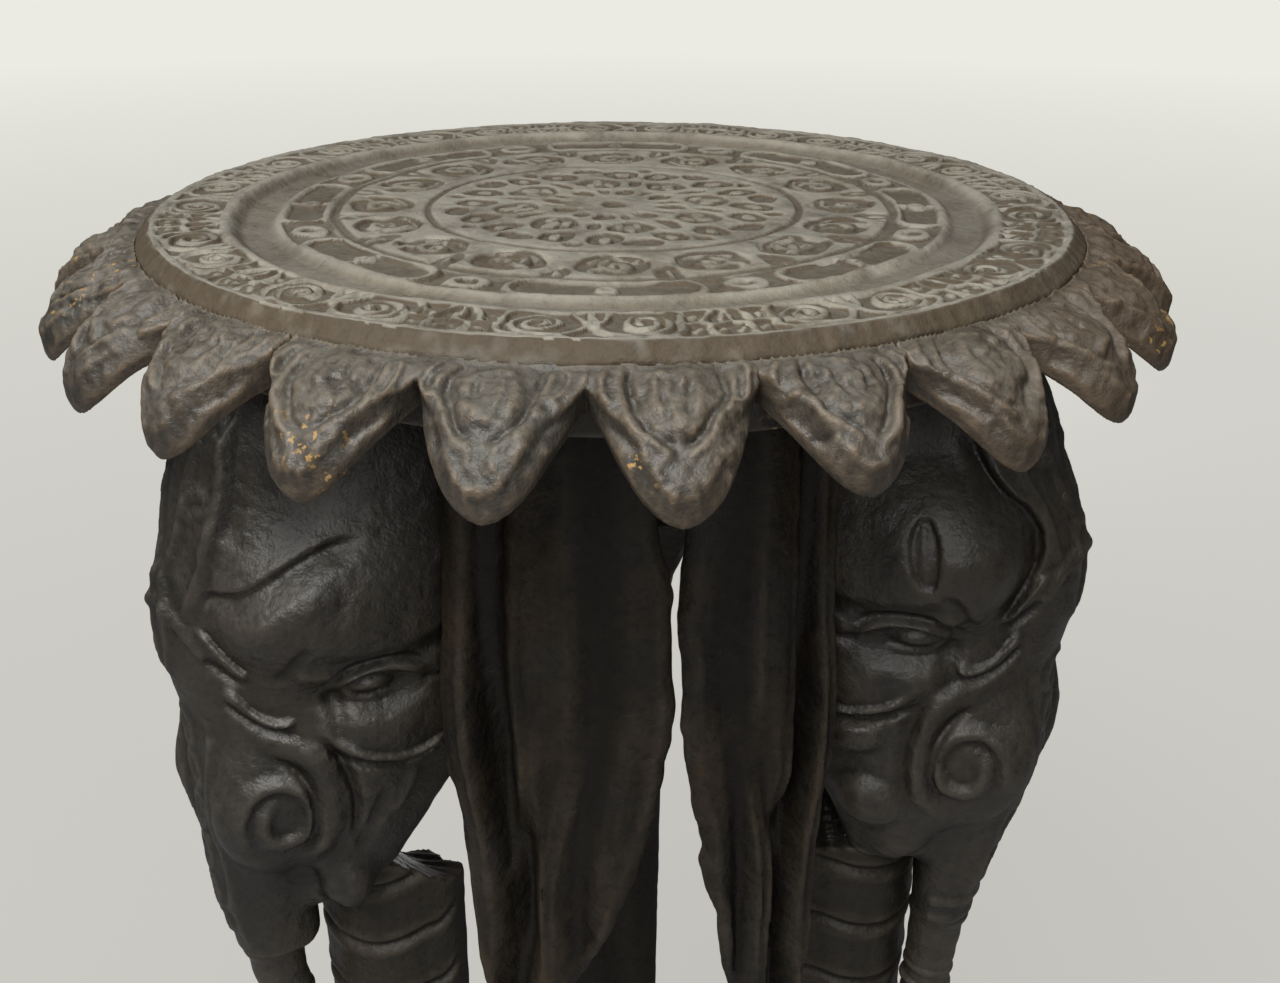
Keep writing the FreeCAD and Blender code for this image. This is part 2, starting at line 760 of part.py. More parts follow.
export("top_disc", make_disc())
segment = make_segment()
for number, middle in enumerate(segment_middles(), 1):
    export("apron_segment_%d" % number, turned(segment, middle))
joints = [middle + segment_angle / 2.0 for middle in segment_middles()]
export("apron_splines", Part.makeCompound([make_spline(angle, 0.0) for angle in joints]))
pegs = [make_peg(middle + angle) for middle in segment_middles() for angle in peg_angles()]
export("apron_pegs", Part.makeCompound(pegs))
export("core_block", make_core_block())
head = make_head()
leg = make_leg()
trunk = make_trunk()
left_ear = make_ear(ear_left_line, ear_left_outline)
right_ear = make_ear(ear_right_line, ear_right_outline)
core_dowels = []
head_dowels = []
trunk_dowels = []
for number, angle in enumerate(head_angles, 1):
    export("head_%d" % number, turned(head, angle))
    export("leg_%d" % number, turned(leg, angle))
    export("trunk_%d" % number, turned(trunk, angle))
    export("ear_left_%d" % number, turned(left_ear, angle))
    export("ear_right_%d" % number, turned(right_ear, angle))
    for start in core_dowel_starts():
        core_dowels.append(turned(bar(start, Vector(1, 0, 0), dowel_diameter, core_dowel_length), angle))
    for place in head_dowel_places():
        head_dowels.append(turned(make_head_dowel(place), angle))
    trunk_dowels.append(turned(bar(trunk_dowel_start(), up, trunk_dowel_diameter, trunk_dowel_length), angle))
export("core_dowels", Part.makeCompound(core_dowels))
export("head_dowels", Part.makeCompound(head_dowels))
export("trunk_dowels", Part.makeCompound(trunk_dowels))
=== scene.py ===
"""Carved wooden plant stand with three elephant heads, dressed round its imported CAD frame."""
import math
import bpy
import numpy as np
from mathutils import Matrix


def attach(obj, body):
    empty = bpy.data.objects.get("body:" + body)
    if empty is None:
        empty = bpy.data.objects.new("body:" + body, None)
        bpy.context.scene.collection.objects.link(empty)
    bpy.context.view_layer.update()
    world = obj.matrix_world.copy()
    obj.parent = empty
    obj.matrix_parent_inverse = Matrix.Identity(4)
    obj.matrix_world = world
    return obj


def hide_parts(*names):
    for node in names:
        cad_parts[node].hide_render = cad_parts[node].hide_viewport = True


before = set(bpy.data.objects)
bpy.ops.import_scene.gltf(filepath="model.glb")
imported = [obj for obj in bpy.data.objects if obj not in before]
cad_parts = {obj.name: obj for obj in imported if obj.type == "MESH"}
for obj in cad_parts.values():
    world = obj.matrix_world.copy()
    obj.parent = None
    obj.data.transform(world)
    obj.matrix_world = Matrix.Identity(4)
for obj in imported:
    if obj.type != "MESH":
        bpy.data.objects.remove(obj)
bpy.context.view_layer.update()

# Main sizes of the stand, in millimetres as in the part's source.
RIM = 165.0
HEIGHT = 540.0
UNDERSIDE = 514.0
FLANGE = 532.0
RABBET = 148.0
CLEARANCE = 0.15
PETAL_COUNT = 24
PETAL_TURN = 2.7
PETALS_PER_SEGMENT = 4
PETAL_TIP = 193.0
PETAL_DROP = 37.0
PETAL_BOW = 6.5
PETAL_THICKNESS = 12.0
HEAD_ANGLES = {1: 90.0, 2: 210.0, 3: 330.0}
MILLIMETRE = 0.001
THOUSAND = 1000.0
COARSE = 1.0
# Cells along each side of the repeating noise.
LATTICE = 32


# Numbers on arrays

def smooth(low, high, value):
    """0 below low, 1 above high, eased between."""
    share = np.clip((value - low) / (high - low), 0.0, 1.0)
    return share * share * (3.0 - 2.0 * share)


def ridge(gap, inner, outer):
    """1 up to the inner distance from a line, eased to 0 at the outer one."""
    return 1.0 - smooth(inner, outer, gap)


def band(value, start, full, fade, end):
    """1 from full to fade, eased to 0 at start and end."""
    return smooth(start, full, value) * ridge(value, fade, end)


def tapered(share, run=0.16):
    """A line's height along its length, fading out at both ends."""
    return band(share, 0.0, run, 1.0 - run, 1.0)


def hump(distance, width):
    """1 at no distance, easing to 0 at the given width."""
    share = np.clip(distance / width, 0.0, 1.0)
    return (1.0 - share * share) ** 2


def soft_min(a, b, blend):
    """The lower of two fields, rounded where they meet."""
    mix = np.clip(0.5 + 0.5 * (b - a) / blend, 0.0, 1.0)
    return b * (1.0 - mix) + a * mix - blend * mix * (1.0 - mix)


def soft_max(a, b, blend):
    """The higher of two fields, rounded where they meet."""
    return -soft_min(-a, -b, blend)


def curve(value, stations, column):
    """A smooth line through one column of a table, by its first column."""
    table = np.asarray(stations, float)
    xs, ys = table[:, 0], table[:, column]
    slopes = np.gradient(ys, xs)
    k = np.clip(np.searchsorted(xs, value) - 1, 0, len(xs) - 2)
    step = xs[k + 1] - xs[k]
    t = np.clip((value - xs[k]) / step, 0.0, 1.0)
    return (
        (1 + 2 * t) * (1 - t) ** 2 * ys[k] + t * (1 - t) ** 2 * step * slopes[k]
        + t * t * (3 - 2 * t) * ys[k + 1] + t * t * (t - 1) * step * slopes[k + 1]
    )


def noise(points, cell, seed):
    """Smooth noise between -1 and 1 at each point."""
    lattice = np.random.default_rng(seed).uniform(-1.0, 1.0, (LATTICE, LATTICE, LATTICE))
    scaled = points / cell
    base = np.floor(scaled).astype(int)
    part = scaled - base
    part = part * part * (3.0 - 2.0 * part)
    total = np.zeros(points.shape[:-1])
    for corner in np.ndindex(2, 2, 2):
        weight = 1.0
        for axis, far in enumerate(corner):
            weight = weight * (part[..., axis] if far else 1 - part[..., axis])
        place = (base + np.array(corner)) % LATTICE
        total += weight * lattice[place[..., 0], place[..., 1], place[..., 2]]
    return total


def flat_spot(across, along):
    """Points of a flat drawing, for its noise."""
    return np.stack([across, along, np.zeros_like(across)], -1)


def line_distance(u, v, points):
    """Distance in a plane to a polyline, and the share of its length at the nearest spot."""
    shape = np.broadcast(u, v).shape
    best = np.full(shape, 1e9)
    share = np.zeros(shape)
    lengths = [math.hypot(bu - au, bv - av) for (au, av), (bu, bv) in zip(points[:-1], points[1:])]
    total, before = sum(lengths), 0.0
    for (au, av), (bu, bv), length in zip(points[:-1], points[1:], lengths):
        run_u, run_v = bu - au, bv - av
        t = np.clip(((u - au) * run_u + (v - av) * run_v) / (length * length), 0.0, 1.0)
        gap_u, gap_v = u - au - t * run_u, v - av - t * run_v
        distance = np.sqrt(gap_u * gap_u + gap_v * gap_v)
        nearer = distance < best
        best = np.where(nearer, distance, best)
        share = np.where(nearer, (before + t * length) / total, share)
        before += length
    return best, share


def rounded(points, rounds=2):
    """A polyline with its corners cut, for softly drawn lines."""
    pts = [np.asarray(p, float) for p in points]
    for _ in range(rounds):
        out = [pts[0]]
        for a, b in zip(pts[:-1], pts[1:]):
            out += [a * 0.75 + b * 0.25, a * 0.25 + b * 0.75]
        pts = out + [pts[-1]]
    return [tuple(p) for p in pts]


def spiral(middle, outer, inner, start, turns, hand=1, steps=40):
    """Points of a flat spiral from its outer end to its eye."""
    out = []
    for k in range(steps + 1):
        share = k / steps
        angle = math.radians(start) + hand * 2.0 * math.pi * turns * share
        radius = outer + (inner - outer) * share ** 0.8
        out.append((middle[0] + radius * math.cos(angle), middle[1] + radius * math.sin(angle)))
    return out


# Meshes

def one_shell(vertices, quads):
    """The largest connected shell of a mesh, without specks beside it."""
    label = np.arange(len(vertices))
    moved = True
    while moved:
        lowest = label.copy()
        np.minimum.at(lowest, quads.ravel(), np.repeat(label[quads].min(axis=1), 4))
        lowest = lowest[lowest]
        moved = not np.array_equal(lowest, label)
        label = lowest
    names, counts = np.unique(label, return_counts=True)
    keep = label == names[np.argmax(counts)]
    index = np.cumsum(keep) - 1
    return vertices[keep], index[quads[keep[quads[:, 0]]]]


def surface_net(field, origin, step):
    """Vertices and quads round the zero level of a field, inside where it is below zero."""
    field = field.astype(np.float32)
    inside = field < 0.0
    sizes = np.array(field.shape)
    count = np.zeros(sizes - 1, np.int8)
    for i, j, k in np.ndindex(2, 2, 2):
        count += inside[i:sizes[0] - 1 + i, j:sizes[1] - 1 + j, k:sizes[2] - 1 + k]
    cells = np.argwhere((count > 0) & (count < 8))
    index = np.full(count.shape, -1, np.int64)
    index[tuple(cells.T)] = np.arange(len(cells))
    total = np.zeros((len(cells), 3))
    number = np.zeros(len(cells))
    quads = []
    for axis in range(3):
        u, v = (axis + 1) % 3, (axis + 2) % 3
        for a, b in np.ndindex(2, 2):
            low = np.zeros(3, int)
            low[u], low[v] = a, b
            high = low.copy()
            high[axis] = 1
            fa = field[tuple((cells + low).T)]
            fb = field[tuple((cells + high).T)]
            cross = (fa < 0) != (fb < 0)
            share = np.where(cross, fa / np.where(cross, fa - fb, 1.0), 0.0)
            total += (low + share[:, None] * (high - low)) * cross[:, None]
            number += cross
        near = [slice(None)] * 3
        far = [slice(None)] * 3
        near[axis], far[axis] = slice(0, -1), slice(1, None)
        edges = np.argwhere(inside[tuple(near)] != inside[tuple(far)])
        edges = edges[(edges[:, u] > 0) & (edges[:, v] > 0)]
        edges = edges[(edges[:, u] < sizes[u] - 1) & (edges[:, v] < sizes[v] - 1)]
        eu, ev = np.eye(3, dtype=int)[u], np.eye(3, dtype=int)[v]
        ring = [index[tuple(c.T)] for c in (edges - eu - ev, edges - ev, edges, edges - eu)]
        quad = np.stack(ring, -1)
        flip = ~inside[tuple(edges.T)]
        quad[flip] = quad[flip][:, ::-1]
        quads.append(quad)
    vertices = np.asarray(origin) + step * (cells + total / number[:, None])
    return one_shell(vertices, np.concatenate(quads))


def grid_axes(low, high, step):
    """Three broadcast axes of a regular grid over a box."""
    axes = [np.arange(a, b + step, step) for a, b in zip(low, high)]
    return axes[0][:, None, None], axes[1][None, :, None], axes[2][None, None, :]


def quad_edges(quads):
    """Every edge of the quads once each way round a quad."""
    return np.concatenate([quads[:, [k, (k + 1) % 4]] for k in range(4)])


def vertex_normals(vertices, quads):
    """Area-weighted normals of a quad mesh."""
    first, second, third, fourth = (vertices[quads[:, k]] for k in range(4))
    across = np.cross(third - first, fourth - second)
    normals = np.zeros_like(vertices)
    for k in range(4):
        for axis in range(3):
            normals[:, axis] += np.bincount(quads[:, k], across[:, axis], len(vertices))
    return normals / np.maximum(np.linalg.norm(normals, axis=1, keepdims=True), 1e-12)


def averaged(vertices, edges, rounds):
    """Each vertex moved to the mean of its neighbours, a few times."""
    degree = np.bincount(edges.ravel(), minlength=len(vertices))
    moved = vertices
    for _ in range(rounds):
        total = np.zeros_like(vertices)
        for axis in range(3):
            total[:, axis] = np.bincount(edges[:, 0], moved[edges[:, 1], axis], len(vertices))
            total[:, axis] += np.bincount(edges[:, 1], moved[edges[:, 0], axis], len(vertices))
        moved = total / np.maximum(degree, 1)[:, None]
    return moved


def turned(points, degrees):
    """Points turned about the upright axis."""
    c, s = math.cos(math.radians(degrees)), math.sin(math.radians(degrees))
    out = np.array(points, float)
    out[..., 0] = points[..., 0] * c - points[..., 1] * s
    out[..., 1] = points[..., 0] * s + points[..., 1] * c
    return out


def place_piece(name, mesh, material, node, shade_mask, worn):
    """A finished mesh with its masks of painted shade and wear, put in its place in the frame."""
    for key, values in (("shade_mask", shade_mask), ("worn", worn)):
        mesh.attributes.new(key, "FLOAT", "POINT").data.foreach_set("value", values)
    mesh.validate()
    piece = bpy.data.objects.new(name, mesh)
    bpy.context.scene.collection.objects.link(piece)
    mesh.materials.append(material)
    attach(piece, "root")
    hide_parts(node)


def add_piece(name, vertices, quads, material, node, carve, seed, reach=1.0, painted_shade=0.0):
    """A carved piece with hand-cut unevenness, painted shade in its hollows and in any extra shaded places
    passed in, and rubbed where it stands out.
    """
    edges = quad_edges(quads)
    normals = vertex_normals(vertices, quads)
    uneven = carve * noise(vertices, 11.0, seed) + 0.5 * carve * noise(vertices, 4.0, seed + 1)
    vertices = vertices + normals * uneven[:, None]
    vertices[:, 2] = np.maximum(vertices[:, 2], 0.0)
    normals = vertex_normals(vertices, quads)
    near, wide = (
        np.einsum("ij,ij->i", averaged(vertices, edges, rounds) - vertices, normals) / (depth * reach)
        for rounds, depth in ((4, 0.35), (24, 1.2))
    )
    # Painted shade: the hollow mask, with any extra shade passed in, darkens the colour; wear is kept off it.
    shade_mask = np.clip(0.6 * near + 0.5 * wide + painted_shade, 0.0, 1.0)
    worn = np.clip(-0.7 * near - 0.35 * wide - painted_shade, 0.0, 1.0)
    mesh = bpy.data.meshes.new(name)
    mesh.vertices.add(len(vertices))
    mesh.vertices.foreach_set("co", (vertices * MILLIMETRE).ravel())
    mesh.loops.add(quads.size)
    mesh.loops.foreach_set("vertex_index", quads.ravel().astype(np.int32))
    mesh.polygons.add(len(quads))
    mesh.polygons.foreach_set("loop_start", np.arange(0, quads.size, 4, dtype=np.int32))
    mesh.polygons.foreach_set("use_smooth", np.ones(len(quads), bool))
    mesh.update(calc_edges=True)
    place_piece(name, mesh, material, node, shade_mask, worn)


# Wood

class Nodes:
    """A small helper that adds and joins shader nodes."""

    def __init__(self, material):
        material.use_nodes = True
        self.tree = material.node_tree
        self.shader = self.tree.nodes["Principled BSDF"]

    def add(self, kind, inputs=None, **settings):
        node = self.tree.nodes.new(kind)
        for key, value in settings.items():
            setattr(node, key, value)
        for key, value in (inputs or {}).items():
            if isinstance(value, bpy.types.NodeSocket):
                self.tree.links.new(value, node.inputs[key])
            else:
                node.inputs[key].default_value = value
        return node

    def noise(self, vector, scale, detail=4.0, rough=0.55):
        inputs = {"Vector": vector, "Scale": scale, "Detail": detail, "Roughness": rough}
        return self.add("ShaderNodeTexNoise", inputs).outputs["Fac"]

    def ramp(self, value, low, high):
        inputs = {"Value": value, "From Min": low, "From Max": high}
        return self.add("ShaderNodeMapRange", inputs, clamp=True).outputs["Result"]

    def plus(self, a, b):
        return self.add("ShaderNodeMath", {0: a, 1: b}, operation="ADD", use_clamp=True).outputs[0]

    def times(self, a, b):
        return self.add("ShaderNodeMath", {0: a, 1: b}, operation="MULTIPLY", use_clamp=True).outputs[0]

    def mix(self, share, a, b):
        a, b = (part if isinstance(part, bpy.types.NodeSocket) else (*part, 1.0) for part in (a, b))
        return self.add("ShaderNodeMix", {0: share, 6: a, 7: b}, data_type="RGBA").outputs[2]


# Colours shared by the woods: shares of the wood's own colours, for grey patches and for painted shade, a
# brown for the right side, and old gilt.
COOL_SHARES = (0.84, 0.87, 0.83)
PAINTED_SHADE_SHARES = (0.6944, 0.6076, 0.5084)
RIGHTWARD_BROWN = (0.094, 0.062, 0.036)
OLD_GILT = (0.42, 0.25, 0.085)


def wood(name, dark, warm, dust_and_light, worn, dust_and_light_up=0.5, dust_and_light_from=0.10, wear=0.6, hollow_shade=0.5, rough=(0.42, 0.75),
         sheen=0.35, cool=0.0, brown_right=0.0, flecks=0.0, grain=(90.0, 90.0, 9.0), patch=14.0):
    """Old carved wood: stained grain, dust and painted light on upper faces, painted shade in hollows, rubbed
    edges and a dull wax sheen.
    """
    material = bpy.data.materials.new(name)
    n = Nodes(material)
    place = n.add("ShaderNodeTexCoord").outputs["Object"]
    stretched = n.add("ShaderNodeMapping", {"Vector": place, "Scale": grain}).outputs["Vector"]
    shade_mask = n.add("ShaderNodeAttribute", attribute_name="shade_mask").outputs["Fac"]
    edge = n.add("ShaderNodeAttribute", attribute_name="worn").outputs["Fac"]
    normal = n.add("ShaderNodeNewGeometry").outputs["Normal"]
    up = n.add("ShaderNodeSeparateXYZ", {"Vector": normal}).outputs["Z"]
    patches = n.noise(place, patch, 5.0, 0.6)
    fibres = n.noise(stretched, 1.0, 6.0, 0.62)
    speckle = n.noise(place, 420.0, 3.0, 0.6)
    blotch = n.noise(place, 60.0, 5.0, 0.65)

    stain = n.ramp(n.plus(n.times(patches, 0.55), n.times(fibres, 0.45)), 0.40, 0.60)
    colour = n.mix(stain, dark, warm)
    if cool:
        grey = sum(warm) / 3.0
        chill = n.times(n.ramp(n.noise(place, patch * 0.8, 3.0, 0.5), 0.46, 0.62), cool)
        colour = n.mix(chill, colour, [share * grey for share in COOL_SHARES])
    # Painted shade: hollows and shaded places darken towards a share of the dark colour.
    painted_shade = [share * part for share, part in zip(PAINTED_SHADE_SHARES, dark)]
    colour = n.mix(n.times(n.ramp(shade_mask, 0.05, 0.85), hollow_shade), colour, painted_shade)
    colour = n.mix(n.times(n.ramp(speckle, 0.50, 0.34), 0.5), colour, [0.5 * part for part in dark])
    rub = n.times(n.ramp(edge, 0.12, 0.75), n.ramp(blotch, 0.30, 0.56))
    colour = n.mix(n.times(rub, wear), colour, worn)
    # Upper faces are lightened towards the dust colour: real dust, and painted light where light falls from
    # above.
    uneven = n.ramp(n.plus(n.times(blotch, 0.6), n.times(speckle, 0.4)), 0.30, 0.62)
    dust_and_light_share = n.times(n.times(n.ramp(up, dust_and_light_from, 0.95), dust_and_light_up), uneven)
    colour = n.mix(dust_and_light_share, colour, dust_and_light)
    # Browner towards the right side, along x.
    if brown_right:
        right = n.ramp(n.add("ShaderNodeSeparateXYZ", {"Vector": place}).outputs["X"], 0.05, 0.17)
        colour = n.mix(n.times(right, brown_right), colour, RIGHTWARD_BROWN)
    if flecks:
        spots = n.noise(place, 310.0, 3.0, 0.6)
        zone = n.noise(place, 26.0, 2.0, 0.5)
        gilt = n.times(n.ramp(spots, 0.585, 0.64), n.ramp(zone, 0.60, 0.68))
        colour = n.mix(n.times(gilt, flecks), colour, OLD_GILT)

    haze = n.plus(n.times(dust_and_light_share, 0.7), n.times(n.ramp(blotch, 0.3, 0.7), 0.3))
    spread = {"Value": haze, "To Min": rough[0], "To Max": rough[1]}
    gloss = n.add("ShaderNodeMapRange", spread).outputs["Result"]
    fine = n.add("ShaderNodeBump", {"Height": speckle, "Strength": 0.45, "Distance": 0.0010}).outputs[0]
    lines = {"Height": fibres, "Strength": 0.08, "Distance": 0.0010, "Normal": fine}
    lumps = {"Height": blotch, "Strength": 0.55, "Distance": 0.0030}
    lumps["Normal"] = n.add("ShaderNodeBump", lines).outputs[0]
    bump = n.add("ShaderNodeBump", lumps).outputs[0]
    for key, value in (("Base Color", colour), ("Roughness", gloss), ("Normal", bump)):
        n.tree.links.new(value, n.shader.inputs[key])
    n.shader.inputs["Specular IOR Level"].default_value = sheen
    return material


wood_top = wood(
    "top_wood", (0.118, 0.102, 0.078), (0.178, 0.150, 0.110), (0.215, 0.206, 0.178), (0.300, 0.278, 0.226),
    dust_and_light_up=0.35, dust_and_light_from=0.82, wear=0.85, hollow_shade=0.97, rough=(0.60, 0.92), sheen=0.20, cool=0.35,
    grain=(90.0, 9.0, 90.0),
)
wood_petal = wood(
    "petal_wood", (0.026, 0.022, 0.017), (0.072, 0.056, 0.039), (0.150, 0.139, 0.112), (0.165, 0.118, 0.074),
    dust_and_light_up=0.72, wear=0.75, hollow_shade=0.98, rough=(0.40, 0.80), sheen=0.45, cool=0.22, brown_right=0.58, flecks=0.85,
)
wood_head = wood(
    "head_wood", (0.0165, 0.0145, 0.0118), (0.036, 0.029, 0.021), (0.110, 0.102, 0.086),
    (0.085, 0.070, 0.053), dust_and_light_up=0.70, wear=0.36, hollow_shade=0.90, rough=(0.38, 0.70), sheen=0.48, cool=0.25,
)
# The ears' wood is a darker copy of the head's wood, partly painted shade for ears hanging under the apron.
wood_ear_shaded = wood(
    "ear_wood_shaded", (0.0075, 0.0064, 0.0048), (0.029, 0.0205, 0.0124), (0.044, 0.037, 0.027),
    (0.062, 0.046, 0.030), dust_and_light_up=0.30, wear=0.34, hollow_shade=0.85, rough=(0.44, 0.70), sheen=0.25, cool=0.60,
    patch=26.0,
)
wood_leg = wood(
    "leg_wood", (0.0150, 0.0130, 0.0100), (0.031, 0.025, 0.018), (0.075, 0.066, 0.052), (0.065, 0.052, 0.038),
    dust_and_light_up=0.50, wear=0.50, hollow_shade=0.60, rough=(0.44, 0.72), sheen=0.30,
)
wood_plain = wood(
    "core_wood", (0.020, 0.0165, 0.0125), (0.042, 0.032, 0.022), (0.070, 0.059, 0.046), (0.070, 0.054, 0.038),
    rough=(0.55, 0.85),
)
wood_dowel = wood(
    "dowel_wood", (0.080, 0.052, 0.030), (0.130, 0.088, 0.052), (0.120, 0.096, 0.070), (0.140, 0.100, 0.066),
    rough=(0.50, 0.80),
)


# The carved top

# Lines of the border on one side of a repeat, and their half widths, in millimetres.
BORDER_LINES = (
    (spiral((14.6, 10.8), 8.8, 1.7, 95.0, 1.9, hand=-1), 1.15),
    (rounded([(14.0, 19.6), (8.0, 21.0), (3.0, 17.0), (0.6, 10.0), (0.0, 1.0)]), 1.2),
    (rounded([(0.0, 13.0), (3.5, 8.0), (5.5, 1.5)]), 1.0),
    (rounded([(14.0, 19.6), (20.0, 21.5), (25.5, 17.5), (24.5, 11.0), (26.0, 4.0), (23.0, 1.0)]), 1.2),
    (rounded([(25.0, 12.5), (30.0, 11.6), (33.2, 13.4), (38.2, 11.8)]), 1.1),
    (rounded([(6.5, 20.8), (5.0, 23.0)]), 1.0),
    (rounded([(33.2, 13.4), (32.4, 18.0), (34.0, 23.0)]), 1.0),
    (rounded([(31.0, 11.6), (31.8, 6.0), (35.5, 1.0)]), 1.0),
    (rounded([(38.2, 3.0), (37.0, 7.0), (38.2, 11.0)]), 1.0),
)
# Small knobs between the border's lines: middle and half size.
BORDER_KNOBS = (
    ((28.6, 6.6), (2.4, 2.0)), ((29.2, 17.4), (2.2, 2.6)), ((35.8, 17.8), (1.9, 2.4)),
    ((22.4, 22.0), (2.4, 1.4)),
)
LEAF_LINES = (
    (spiral((-1.5, 0.5), 6.6, 1.4, -60.0, 1.15), 1.7),
    (rounded([(-8.0, -6.0), (-3.0, -8.5), (4.0, -8.0), (8.0, -4.0)]), 1.3),
    (rounded([(3.0, 3.0), (7.5, 5.0), (6.0, 9.0)]), 1.5),
)
LEAF_NOTCH = rounded([(16.2, 4.0), (13.5, 9.0), (14.5, 14.0)])
# Sunk cells of the rosette and the leaves left in them: angle, radius in rim radii, half sizes and depth.
ROSETTE_CELLS = (
    (30.0, 0.120, 5.2, 4.2, 1.0), (7.5, 0.125, 4.0, 2.2, 0.8), (7.5, 0.210, 9.0, 9.0, 1.0),
    (21.0, 0.300, 8.2, 6.4, 1.0), (39.0, 0.300, 8.2, 6.4, 1.0), (30.0, 0.205, 6.5, 2.8, 0.9),
    (7.5, 0.335, 5.0, 7.2, 0.95), (30.0, 0.35, 3.6, 3.4, 0.9),
)
ROSETTE_LEAVES = (
    (7.5, 0.222, 5.4, 2.6, 0.9), (21.0, 0.305, 3.4, 2.6, 0.9), (39.0, 0.305, 3.4, 2.6, 0.9),
    (1.5, 0.195, 3.6, 1.9, 0.9), (13.5, 0.195, 3.6, 1.9, 0.9),
)
# Rings of points on the face: first and last radius, spacing, and points to a ring.
FACE_EDGE = 158.0
FACE_ZONES = (
    (0.8, 20.0, 1.05, 180), (20.9, 46.0, 1.05, 360), (46.9, 131.0, 0.95, 720), (131.8, 157.8, 0.66, 1440),
)
RIM_SPOKES = 1440
# Worn slope of the rim, as radius and drop below the face, then the rabbet, as radius and drop below the top.
RIM_SLOPE = (
    (158.4, 0.15), (159.0, 0.7), (159.8, 1.5), (160.7, 2.5), (161.6, 3.4), (162.5, 4.2), (163.0, 5.0),
)
DENTED_TO = 4.5
RABBET_RINGS = ((163.0, 8.0), (160.0, 8.0), (148.0, 8.0), (148.0, 14.0), (148.0, 26.0), (146.0, 26.0))
UNDER_RINGS = ((110.0, 720), (70.0, 360), (40.0, 180), (20.0, 90))


def unrolled(theta, middle, pitch, start):
    """Run along a band of repeats from the middle of the nearest one, and the number of that one."""
    turn = theta - math.radians(start)
    unit = np.round(turn / math.radians(pitch))
    return (turn - unit * math.radians(pitch)) * middle, unit


def border_relief(r, theta):
    """Raised share of the scroll border: paired scrolls on a stem, with looped leaves between."""
    s, unit = unrolled(theta, 0.885 * RIM, 30.0, 25.0)
    q = r - 0.812 * RIM
    spot = flat_spot(s * 0.6 + unit * 37.0, q * 1.2)
    t = np.abs(s + 1.5 * noise(spot, 11.0, 41))
    q = q + 1.1 * noise(spot, 9.0, 43)
    raised = np.zeros_like(s)
    for points, half in BORDER_LINES:
        gap, _ = line_distance(t, q, points)
        raised = np.maximum(raised, ridge(gap, half * 0.5, half * 1.35))
    for place, half in BORDER_KNOBS:
        knob = np.hypot((t - place[0]) / half[0], (q - place[1]) / half[1])
        raised = np.maximum(raised, 0.9 * ridge(knob, 0.45, 1.0))
    for level, half in ((0.4, 1.6), (23.4, 1.5)):
        raised = np.maximum(raised, ridge(np.abs(q - level), half * 0.6, half * 1.5))
    return raised


def cartouche_relief(r, theta):
    """Raised share of the band of long cartouches with rings between."""
    middle = 0.653 * RIM
    s, unit = unrolled(theta, middle, 45.0, 41.5)
    q = r - middle
    spot = flat_spot(s + unit * 51.0, q)
    t = np.abs(s + 1.0 * noise(spot, 14.0, 51))
    q = q + 0.9 * noise(spot, 12.0, 53)
    long_half, high_half, corner = 28.8, 7.4, 6.2
    du = np.maximum(t - (long_half - corner), 0.0)
    dv = np.maximum(np.abs(q) - (high_half - corner), 0.0)
    raised = ridge(np.abs(np.hypot(du, dv) - corner), 0.9, 1.9)
    for place, squeeze, outer, width in ((0.0, 1.0, 3.6, 1.5), (42.3, 0.78, 6.0, 1.7)):
        gap = np.abs(np.hypot((t - place) * squeeze, q) - outer + width)
        raised = np.maximum(raised, ridge(gap, width * 0.55, width * 1.5))
    bar = ridge(t, 0.8, 1.8) * smooth(3.2, 4.2, np.abs(q)) * (np.abs(q) < high_half)
    raised = np.maximum(raised, bar)
    for level in (-8.9, 8.7):
        raised = np.maximum(raised, 0.75 * ridge(np.abs(q - level), 0.66, 1.98))
    return raised


def leaf_relief(r, theta):
    """Raised share of the ring of leaves: arched cells with a curled leaf in each."""
    middle = 0.4975 * RIM
    s, unit = unrolled(theta, middle, 22.5, 20.0)
    q = r - middle
    spot = flat_spot(s + unit * 33.0, q)
    hand = np.where(unit % 2 == 0, 1.0, -1.0)
    s = (s + 1.5 * noise(spot, 9.0, 61)) * hand
    q = q + 1.5 * noise(spot, 8.0, 63)
    raised = smooth(0.80, 0.97, np.hypot(s / 13.4, (q + 0.4) / 12.4))
    for points, half in LEAF_LINES:
        gap, _ = line_distance(s, q, points)
        raised = np.maximum(raised, 0.85 * ridge(gap, half * 0.45, half * 1.3))
    gap, _ = line_distance(np.abs(s), q, LEAF_NOTCH)
    return raised * (1.0 - 0.7 * ridge(gap, 0.8, 2.2))


def rosette_relief(r, theta):
    """Raised share of the middle rosette: a pierced eye, drops, and two rows of leaf cells."""
    x, y = r * np.cos(theta), r * np.sin(theta)
    spot = flat_spot(x, y)
    x = x + 1.7 * noise(spot, 9.0, 71)
    y = y + 1.7 * noise(spot, 9.0, 73)
    r = np.hypot(x, y)
    theta = np.arctan2(y, x)
    levels = []
    for cells in (ROSETTE_CELLS, ROSETTE_LEAVES):
        level = np.zeros_like(r)
        for angle, place, along, across, depth in cells:
            s, _ = unrolled(theta, place * RIM, 45.0, angle)
            gap = np.hypot((r - place * RIM) / along, s / across)
            level = np.maximum(level, depth * ridge(gap, 0.72, 1.02))
        levels.append(level)
    sunk = np.maximum(levels[0], ridge(r, 3.0, 6.0))
    return np.clip(1.0 - sunk + levels[1], 0.0, 1.0)


